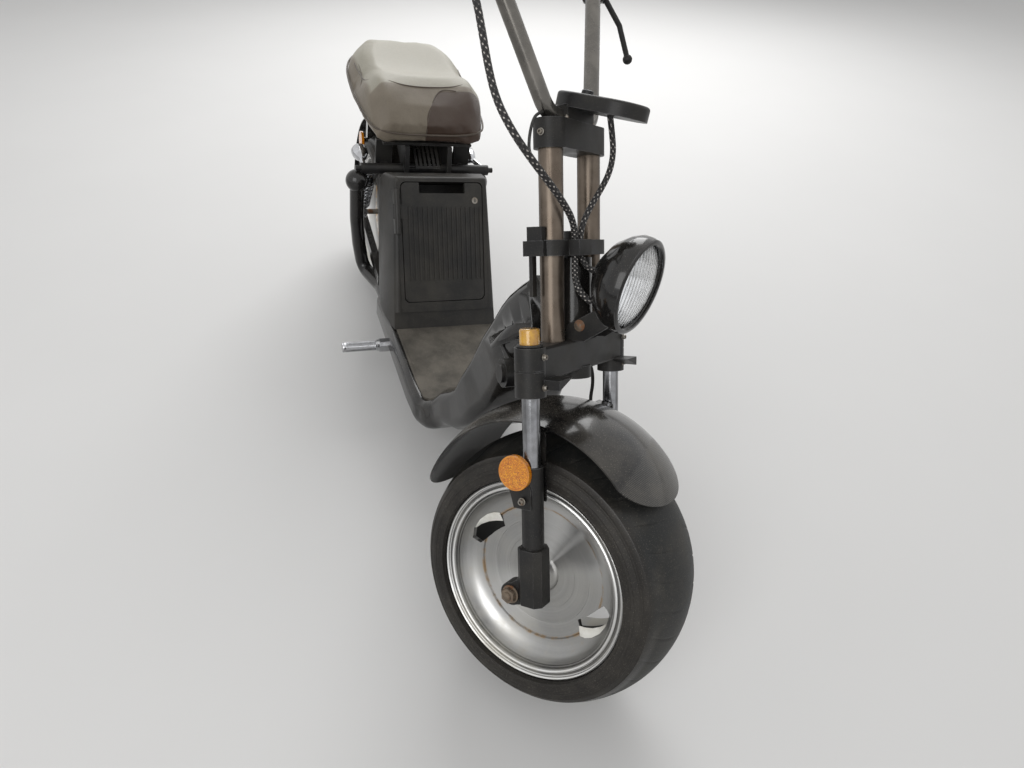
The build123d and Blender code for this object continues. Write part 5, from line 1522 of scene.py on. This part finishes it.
CORDS = (
    Cord("bar_loom", 5.3, Braid(), (
        (-36, -231, 984), (-14, -210, 930), (4, -204, 876), (16, -208, 828), (26, -211, 782), (38, -212, 740),
        (54, -200, 700), (66, -170, 664), (69, -128, 636), (67, -84, 610), (64, -50, 586), (62, -39, 558),
        (62, -40, 528), (64, -46, 500), (72, -44, 474), (88, -35, 460),
    )),
    Cord("dash_loom", 4.7, Braid(), (
        (101, 2, 741), (99, 14, 716), (95, 27, 688), (87, 30, 660), (76, 21, 634), (67, 3, 608),
        (62.5, -16, 582), (63, -26, 556), (66, -28, 529), (75, -19, 509), (88, -9, 506),
    )),
    Cord("switch_lead", 2.3, GRIP_RUBBER, (
        (33, -84, 742), (36, -106, 737), (40, -126, 720), (45, -142, 698), (54, -158, 676), (65, -166, 667),
    )),
    Cord("brake_hose_line", 3.2, GRIP_RUBBER, (
        (18, 72, 349), (12, 100, 343), (5, 128, 324), (0, 141, 296), (-6, 141, 266), (-4, 140, 236),
        (2, 138, 206), (7, 134, 178), (12, 124, 152), (22, 108, 132), (40, 92, 112),
    )),
)


@dataclass
class Saddle:
    """The broad saddle: a swollen leather pad with piping round it and thin beads along its panels."""

    voxel: float = 0.005
    pressure: float = 3.0
    cap: float = 0.010
    shrink: float = 0.99
    frames: int = 20
    front: float = -440.0
    piping: float = 2.6
    dark: SeatLeather = SeatLeather("piping leather", (0.085, 0.066, 0.05), (0.12, 0.098, 0.076), 0.42)
    lift: float = 0.0004
    seam_lines: tuple[tuple[str, float, Spot, tuple[Spot, ...]], ...] = (
        ("top_bead", 1.5, (0, 0, -1), (
            (-820, -150, 800), (-740, -149, 800), (-640, -146, 800), (-570, -138, 800), (-533, -112, 800),
            (-519, -70, 800), (-519, -25, 800), (-520, 30, 800), (-520, 78, 800), (-534, 114, 800),
            (-570, 138, 800), (-640, 146, 800), (-740, 149, 800), (-820, 150, 800),
        )),
        ("panel_bead", 1.3, (-1, 0, 0), (
            (-380, -9, 560), (-380, -8, 582), (-380, -7, 606), (-380, 0, 630), (-380, 10, 648),
            (-380, 22, 660), (-380, 36, 668), (-380, 56, 671), (-380, 78, 670),
        )),
        ("flank_seam", 0.9, (0, 1, 0), (
            (-716, -260, 662), (-660, -260, 650), (-615, -260, 636), (-585, -260, 612), (-570, -260, 586),
        )),
    )
    rim: tuple[Spot, ...] = (
        (-2, 0, 26), (-2, 90, 27), (-8, 142, 36), (-40, 157, 42), (-100, 165, 52), (-170, 169, 60),
        (-260, 170, 70), (-340, 165, 84), (-400, 145, 98), (-434, 104, 110), (-440, 50, 114), (-441, 0, 115),
    )

    def pad(self, wardrobe: Wardrobe) -> bpy.types.Object:
        """Builds the pad from a copy of its solid, and swells it.

        Returns:
            The finished pad.
        """
        mesh = FRAME["nodes"]["seat_cushion"].data.copy()
        mesh.materials.clear()
        made = bpy.data.objects.new("seat_pad", mesh)
        bpy.context.scene.collection.objects.link(made)
        low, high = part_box("seat_cushion")
        middle = (low + high) / 2
        middle.z = low.z
        for vert in mesh.vertices:
            vert.co = middle + (vert.co - middle) * self.shrink
        applied(made, "REMESH", mode="VOXEL", voxel_size=self.voxel, adaptivity=0.0)
        start = [vert.co.copy() for vert in made.data.vertices]
        self.swell(made)
        for vert, before in zip(made.data.vertices, start):
            move = vert.co - before
            if move.length > self.cap:
                vert.co = before + move.normalized() * self.cap
        applied(made, "SMOOTH", factor=0.6, iterations=6)
        applied(made, "SUBSURF", levels=1, render_levels=1)
        made.data.shade_smooth()
        made.data.materials.append(wardrobe.get(SeatLeather("seat leather", painted_light_zones=True)))
        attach(made, "frame")
        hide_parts("seat_cushion")
        LOG.info("%s on %s", made.name, "frame")
        return made

    def swell(self, made: bpy.types.Object) -> None:
        """Swells the pad by cloth under pressure, with no gravity."""
        cloth = made.modifiers.new("cloth", "CLOTH")
        cloth.settings.use_pressure = True
        cloth.settings.uniform_pressure_force = self.pressure
        cloth.settings.effector_weights.gravity = 0.0
        cloth.settings.quality = 5
        cloth.point_cache.frame_end = self.frames
        for frame in range(1, self.frames + 1):
            bpy.context.scene.frame_set(frame)
        with bpy.context.temp_override(object=made, active_object=made, selected_objects=[made]):
            bpy.ops.object.modifier_apply(modifier=cloth.name)
        bpy.context.scene.frame_set(1)

    def welt(self, wardrobe: Wardrobe) -> None:
        """Lays the piping round the pad's lower edge."""
        points = [Vector((self.front + x, y, 548 + z)) for x, y, z in self.rim]
        points += [Vector((point.x, -point.y, point.z)) for point in reversed(points[:-1])]
        mesh = Strand(self.piping, BODY, 8, 4, closed=True).mesh("seat_piping", points)
        mesh.materials.append(wardrobe.get(self.dark))
        settled(bpy.data.objects.new("seat_piping", mesh), "frame")

    def seams(self, pad: bpy.types.Object, wardrobe: Wardrobe) -> None:
        """Lays thin beads over the pad along the light top, the dark panel and the right flank."""
        mesh = pad.data
        tree = BVHTree.FromPolygons([v.co for v in mesh.vertices], [f.vertices[:] for f in mesh.polygons])
        back = BODY.inverted()
        beads = bmesh.new()
        for name, radius, aim, starts in self.seam_lines:
            away = (BODY.to_3x3() @ Vector(aim)).normalized()
            hits = (tree.ray_cast(BODY @ Vector(start), away)[:2] for start in starts)
            points = [back @ (hit + normal * self.lift) for hit, normal in hits if hit is not None]
            LOG.info("%s has %d points", name, len(points))
            beads.from_mesh(Strand(radius, BODY, 8, 4).mesh(name, points))
        piece = Piece("seat_seams", "frame", "seat_leather", (), 60.0, beads)
        piece.hand_over(wardrobe.get(self.dark))

    def build(self, wardrobe: Wardrobe) -> None:
        """Builds the saddle."""
        pad = self.pad(wardrobe)
        self.welt(wardrobe)
        self.seams(pad, wardrobe)


@dataclass
class Bars:
    """The grips, and the dash's screen and knob."""

    end: Spot = (-105, 355, 1035)
    corner: Spot = (-16, 177, 990)
    grip_length: float = 122.0
    grip_radius: float = 17.0
    ribs: int = 17

    def grips(self, wardrobe: Wardrobe) -> None:
        """Builds the ribbed grips in place of the plain ones."""
        piece = Piece("grips_ribbed", "steering", "grip_rubber", ("grips",))
        pitch = (self.grip_length - 16) / self.ribs
        r = self.grip_radius
        profile = [(13.1, 0.2), (r, 0.2), (r, 6)]
        for rib in range(self.ribs):
            foot = 7 + rib * pitch
            profile += [(r - 1.6, foot), (r - 1.6, foot + pitch * 0.35), (r - 0.2, foot + pitch * 0.5)]
            profile += [(r - 0.2, foot + pitch * 0.9)]
        top = self.grip_length
        profile += [(r, top - 8), (r, top - 3), (r - 3, top), (0, top)]
        for side in (-1, 1):
            end, corner = Vector(self.end), Vector(self.corner)
            end.y *= side
            corner.y *= side
            run = (end - corner).normalized()
            tip = end + run * 5
            piece.turned(profile, 40, FORK @ look_along(tip - run * top, tip))
        piece.hand_over(wardrobe.get(GRIP_RUBBER))

    def dash(self, wardrobe: Wardrobe) -> None:
        """Builds the dash's smoked screen and its round knob."""
        face = FORK @ local((86, 0, 744), (0, 15.5, 0))
        plate = bmesh.new()
        bmesh.ops.create_circle(plate, cap_ends=True, segments=48, radius=24)
        Mesh.thicken(plate, (0, 0, 1.4))
        Mesh.soften(plate, [e for e in plate.edges if min(v.co.z for v in e.verts) > 1.3], 0.8)
        bmesh.ops.recalc_face_normals(plate, faces=plate.faces)
        screen = Piece("dash_screen", "steering", "satin_black").add(plate, face @ local((30, 0, 20.8)))
        screen.hand_over(wardrobe.get(SMOKED))
        profile = [(0, 10.5), (6, 10.5), (9, 9.3), (9.6, 7), (9.6, 2.4), (11.5, 1.4), (11.5, 0)]
        knob = Piece("dash_knob", "steering", "satin_black")
        knob.turned(profile, 36, face @ local((-38, 14, 21.6)))
        knob.hand_over(wardrobe.get(SATIN_BLACK))

    def build(self, wardrobe: Wardrobe) -> None:
        """Builds the bar's pieces."""
        self.grips(wardrobe)
        self.dash(wardrobe)


@dataclass
class ForkTrim:
    """The fork's screws, nuts, cap collars, reflector rims and foot blocks."""

    leg: float = 138.0
    stem: float = 37.0

    def screws(self, wardrobe: Wardrobe) -> None:
        """Builds the screws of the yoke, clamps, feet and brackets."""
        piece = Piece("fork_screws", "steering", "plain_steel")
        socket = Screw(4.0, Head.SOCKET)
        for side in (-1, 1):
            outwards = (-90 * side, 0, 0)
            for z in (386, 340):
                piece.add(socket.shape(), FORK @ local((61, side * self.leg, z), (0, 90, 0)))
            piece.add(Screw(4.5, Head.SOCKET).shape(), FORK @ local((32, side * 160.4, 164), outwards))
            for z in (546, 714):
                piece.add(socket.shape(), FORK @ local((33.0, side * 89.0, z), outwards))
            for x in (16, 50):
                piece.add(Screw(3.6, Head.HEX).shape(), FORK @ local((x, side * 41, 735)))
        piece.hand_over(wardrobe.get(PLAIN_STEEL))

    def rings(self, wardrobe: Wardrobe) -> None:
        """Builds the collars round the amber caps and the rims of the reflectors."""
        collar = [(15.8, 0), (19.5, 0), (20.5, 1.5), (19.5, 4.2), (15.8, 4.2), (15.8, 0)]
        places = mirrored(FORK, (self.stem, self.leg, 400))
        collars = Piece("fork_cap_collars", "steering", "satin_black").turned(collar, 48, *places)
        collars.hand_over(wardrobe.get(SATIN_BLACK))
        rim = [(25.2, 3.5), (25.6, 4.4), (27.4, 4.4), (27.95, 3.6), (27.95, 3.5)]
        places = mirrored(FORK, (20, 160.0, 208), -90)
        rims = Piece("fork_reflector_rims", "steering", "amber_plastic").turned(rim, 64, *places)
        rims.hand_over(wardrobe.get(AMBER_RIM))

    def axle(self, wardrobe: Wardrobe) -> None:
        """Builds the front axle's dusty, rusty nut and rounded thread end on each side."""
        nuts = Piece("front_axle_nuts", "steering", "plain_steel")
        for place in mirrored(FORK, (0, 150.2, 0), -90):
            nuts.add(Mesh.stick(15.0, 2.4, 40, 0.6), place)
            nuts.add(Mesh.stick(13.2, 9.0, 6, 2.4), place @ local((0, 0, 2.4)))
            nuts.turned([(0, 16.5), (4.5, 15.6), (7.2, 13.4), (7.8, 11.0), (7.8, 6.0)], 24, place)
        nuts.hand_over(wardrobe.get(RUSTY_STEEL))

    def feet(self, wardrobe: Wardrobe) -> None:
        """Builds the angular block round the foot of each leg, its corners cut."""
        blocks = Piece("fork_foot_blocks", "steering", "satin_black")
        for place in mirrored(FORK, (self.stem, self.leg, 36.5)):
            block = Mesh.brick((44.0, 44.0, 95.0))
            Mesh.soften(block, Mesh.edges(block, rising=True), 10.0, 1)
            Mesh.soften(block, Mesh.edges(block, rising=False), 3.0)
            blocks.add(block, place)
        blocks.hand_over(wardrobe.get(SATIN_BLACK))

    def build(self, wardrobe: Wardrobe) -> None:
        """Builds the fork's small parts."""
        self.screws(wardrobe)
        self.rings(wardrobe)
        self.axle(wardrobe)
        self.feet(wardrobe)


@dataclass
class RearTrim:
    """The shock springs, the indicators' lenses and the pegs' knurled sleeves."""

    shock_low: Spot = (-628.0, 145.0, 250.0)
    shock_high: Spot = (-505.0, 145.0, 448.0)
    spring_radius: float = 20.0
    spring_span: tuple[float, float] = (0.28, 0.86)
    wire: float = 3.6
    turns: float = 8.0
    turn_steps: int = 12
    peg: Spot = (-118.0, 185.0, 143.0)
    peg_length: float = 87.5
    knurl: float = 0.9

    def spring(self, name: str, side: int, wardrobe: Wardrobe) -> None:
        """Winds one spring round its shock absorber."""
        low, high = Vector(self.shock_low), Vector(self.shock_high)
        low.y *= side
        high.y *= side
        start, end = ((high - low).length * share for share in self.spring_span)
        count = int(self.turns * self.turn_steps)
        points = []
        for step in range(count + 1):
            angle = math.tau * step / self.turn_steps
            rise = start + (end - start) * step / count
            points.append((self.spring_radius * math.cos(angle), self.spring_radius * math.sin(angle), rise))
        mesh = Strand(self.wire, BODY @ look_along(low, high), 3, 3, capped=False).mesh(name, points)
        mesh.materials.append(wardrobe.get(CHROME))
        settled(bpy.data.objects.new(name, mesh), "frame")

    def pegs(self, wardrobe: Wardrobe) -> None:
        """Builds the knurled sleeve over each footpeg."""
        piece = Piece("peg_sleeves", "frame", "chrome", (), 20.0)
        cap = [(12.9, 0), (13.2, 1.0), (12.0, 3.4), (6, 4.4), (0, 4.6)]
        x, y, z = self.peg
        for side in (-1, 1):
            sleeve = Mesh.stick(12.2, self.peg_length - 3.0, 36)
            bmesh.ops.subdivide_edges(sleeve, edges=Mesh.edges(sleeve, rising=True), cuts=26)
            walls = [f for f in sleeve.faces if len(f.verts) == 4 and 2.0 < f.calc_center_median().z < 78.0]
            bmesh.ops.poke(sleeve, faces=walls, offset=self.knurl)
            place = BODY @ look_along((x, side * y, z), (x, side * 300.0, z))
            piece.add(sleeve, place).turned(cap, 40, place @ local((0, 0, self.peg_length - 4.6)))
        piece.hand_over(wardrobe.get(CHROME))

    def lenses(self, wardrobe: Wardrobe) -> None:
        """Builds the indicators' ribbed amber lenses."""
        profile = [(20.8, 0), (20.8, -2.5), (19.6, -5.5), (16.5, -8.6), (11, -11.2), (5, -12.4), (0, -12.7)]
        places = [BODY @ local((-550.0, y, 484.0), (0, 90, 0)) for y in (-164.0, 143.0)]
        lenses = Piece("indicator_lenses", "frame", "amber_plastic").turned(profile, 40, *places)
        lenses.hand_over(wardrobe.get(DARK_AMBER))

    def build(self, wardrobe: Wardrobe) -> None:
        """Builds the rear's fine pieces."""
        self.spring("spring_left", 1, wardrobe)
        self.spring("spring_right", -1, wardrobe)
        self.pegs(wardrobe)
        self.lenses(wardrobe)


@dataclass
class SmallTrim:
    """The battery door's key slot and the stitches along the mat's edges."""

    lock: Spot = (-3.3, 205.0, 105.0)
    stitch: Spot = (5.2, 1.6, 1.4)
    pitch: float = 9.0
    line: float = 125.0
    front: float = 60.0
    rear: float = -300.0
    top: float = 180.4

    def key(self, wardrobe: Wardrobe) -> None:
        """Builds the slot in the door's lock."""
        piece = Piece("lock_key_slot", "battery_door", "plain_steel")
        piece.add(Mesh.brick((1.0, 1.8, 8.0), 0.3), DOOR @ local(self.lock))
        piece.hand_over(wardrobe.get(SATIN_BLACK))

    def stitches(self, wardrobe: Wardrobe) -> None:
        """Builds the row of stitches along each side of the mat."""
        piece = Piece("mat_stitches", "frame", "mat_rubber")
        for side in (-1, 1):
            for step in range(int((self.front - self.rear) / self.pitch)):
                spot = (self.rear + self.pitch * step, side * self.line, self.top)
                piece.add(Mesh.brick(self.stitch, 0.4), BODY @ local(spot))
        piece.hand_over(wardrobe.get(MAT_RUBBER))

    def build(self, wardrobe: Wardrobe) -> None:
        """Builds the small parts on the box's face and on the deck."""
        self.key(wardrobe)
        self.stitches(wardrobe)


def dress_frame(wardrobe: Wardrobe) -> None:
    """Gives the carried-over CAD nodes their finishes."""
    wardrobe.dress(GLOSS_BLACK, "rear_loops", "swingarm")
    Smoothed("main_frame", "frame", "frame_black").build(wardrobe.get(GLOSS_BLACK))
    Smoothed("rear_mudguard", "frame", "frame_black").build(wardrobe.get(GLOSS_BLACK))
    Smoothed("front_mudguard", "steering", "frame_black").build(wardrobe.get(GuardLacquer()))
    wardrobe.dress(
        SATIN_BLACK, "rear_subframe", "seat_base", "lower_yoke", "fork_clamps", "fork_legs", "levers",
        "dash_plate", "horn", "side_stand", "front_caliper", "rear_caliper",
    )
    for finish, *nodes in (
        (BRONZE, "uprights"),
        (GUNMETAL, "handlebar"),
        (DARK_REFLECTION_CHROME, "stanchions"),
        (CHROME, "rear_shocks", "rear_indicators", "footpegs"),
        (PLAIN_STEEL, "rear_axle", "door_lock"),
        (RUSTY_STEEL, "front_axle"),
        (CASE_PLASTIC, "battery_case", "battery_door"),
        (MAT_RUBBER, "deck_mat"),
        (RED_PLASTIC, "tail_lamp"),
        (PLATE_WHITE, "plate_holder"),
        (PACK_GREY, "battery_pack"),
        (HoneycombAmber(), "fork_reflectors"),
        (HoneycombAmber("amber honeycomb on a strap", strap_half=125.2), "rear_reflectors"),
        (AMBER_CAP, "fork_caps"),
    ):
        wardrobe.dress(finish, *nodes)


def main() -> None:
    """Builds the studio and every piece in order."""
    logging.basicConfig(level=logging.INFO, format="%(name)s: %(message)s")
    Studio().build()
    wardrobe = Wardrobe()
    dress_frame(wardrobe)
    for cord in CORDS:
        cord.build(wardrobe)
    Wheel("front", "front_wheel", FORK, "front_hub", -1.997).build(wardrobe)
    Wheel("rear", "rear_wheel", REAR, "rear_hub", -2.346, True).build(wardrobe)
    for group in (Headlamp(), Bars(), ForkTrim(), RearTrim(), SmallTrim(), Saddle()):
        group.build(wardrobe)


if __name__ == "__main__":
    main()
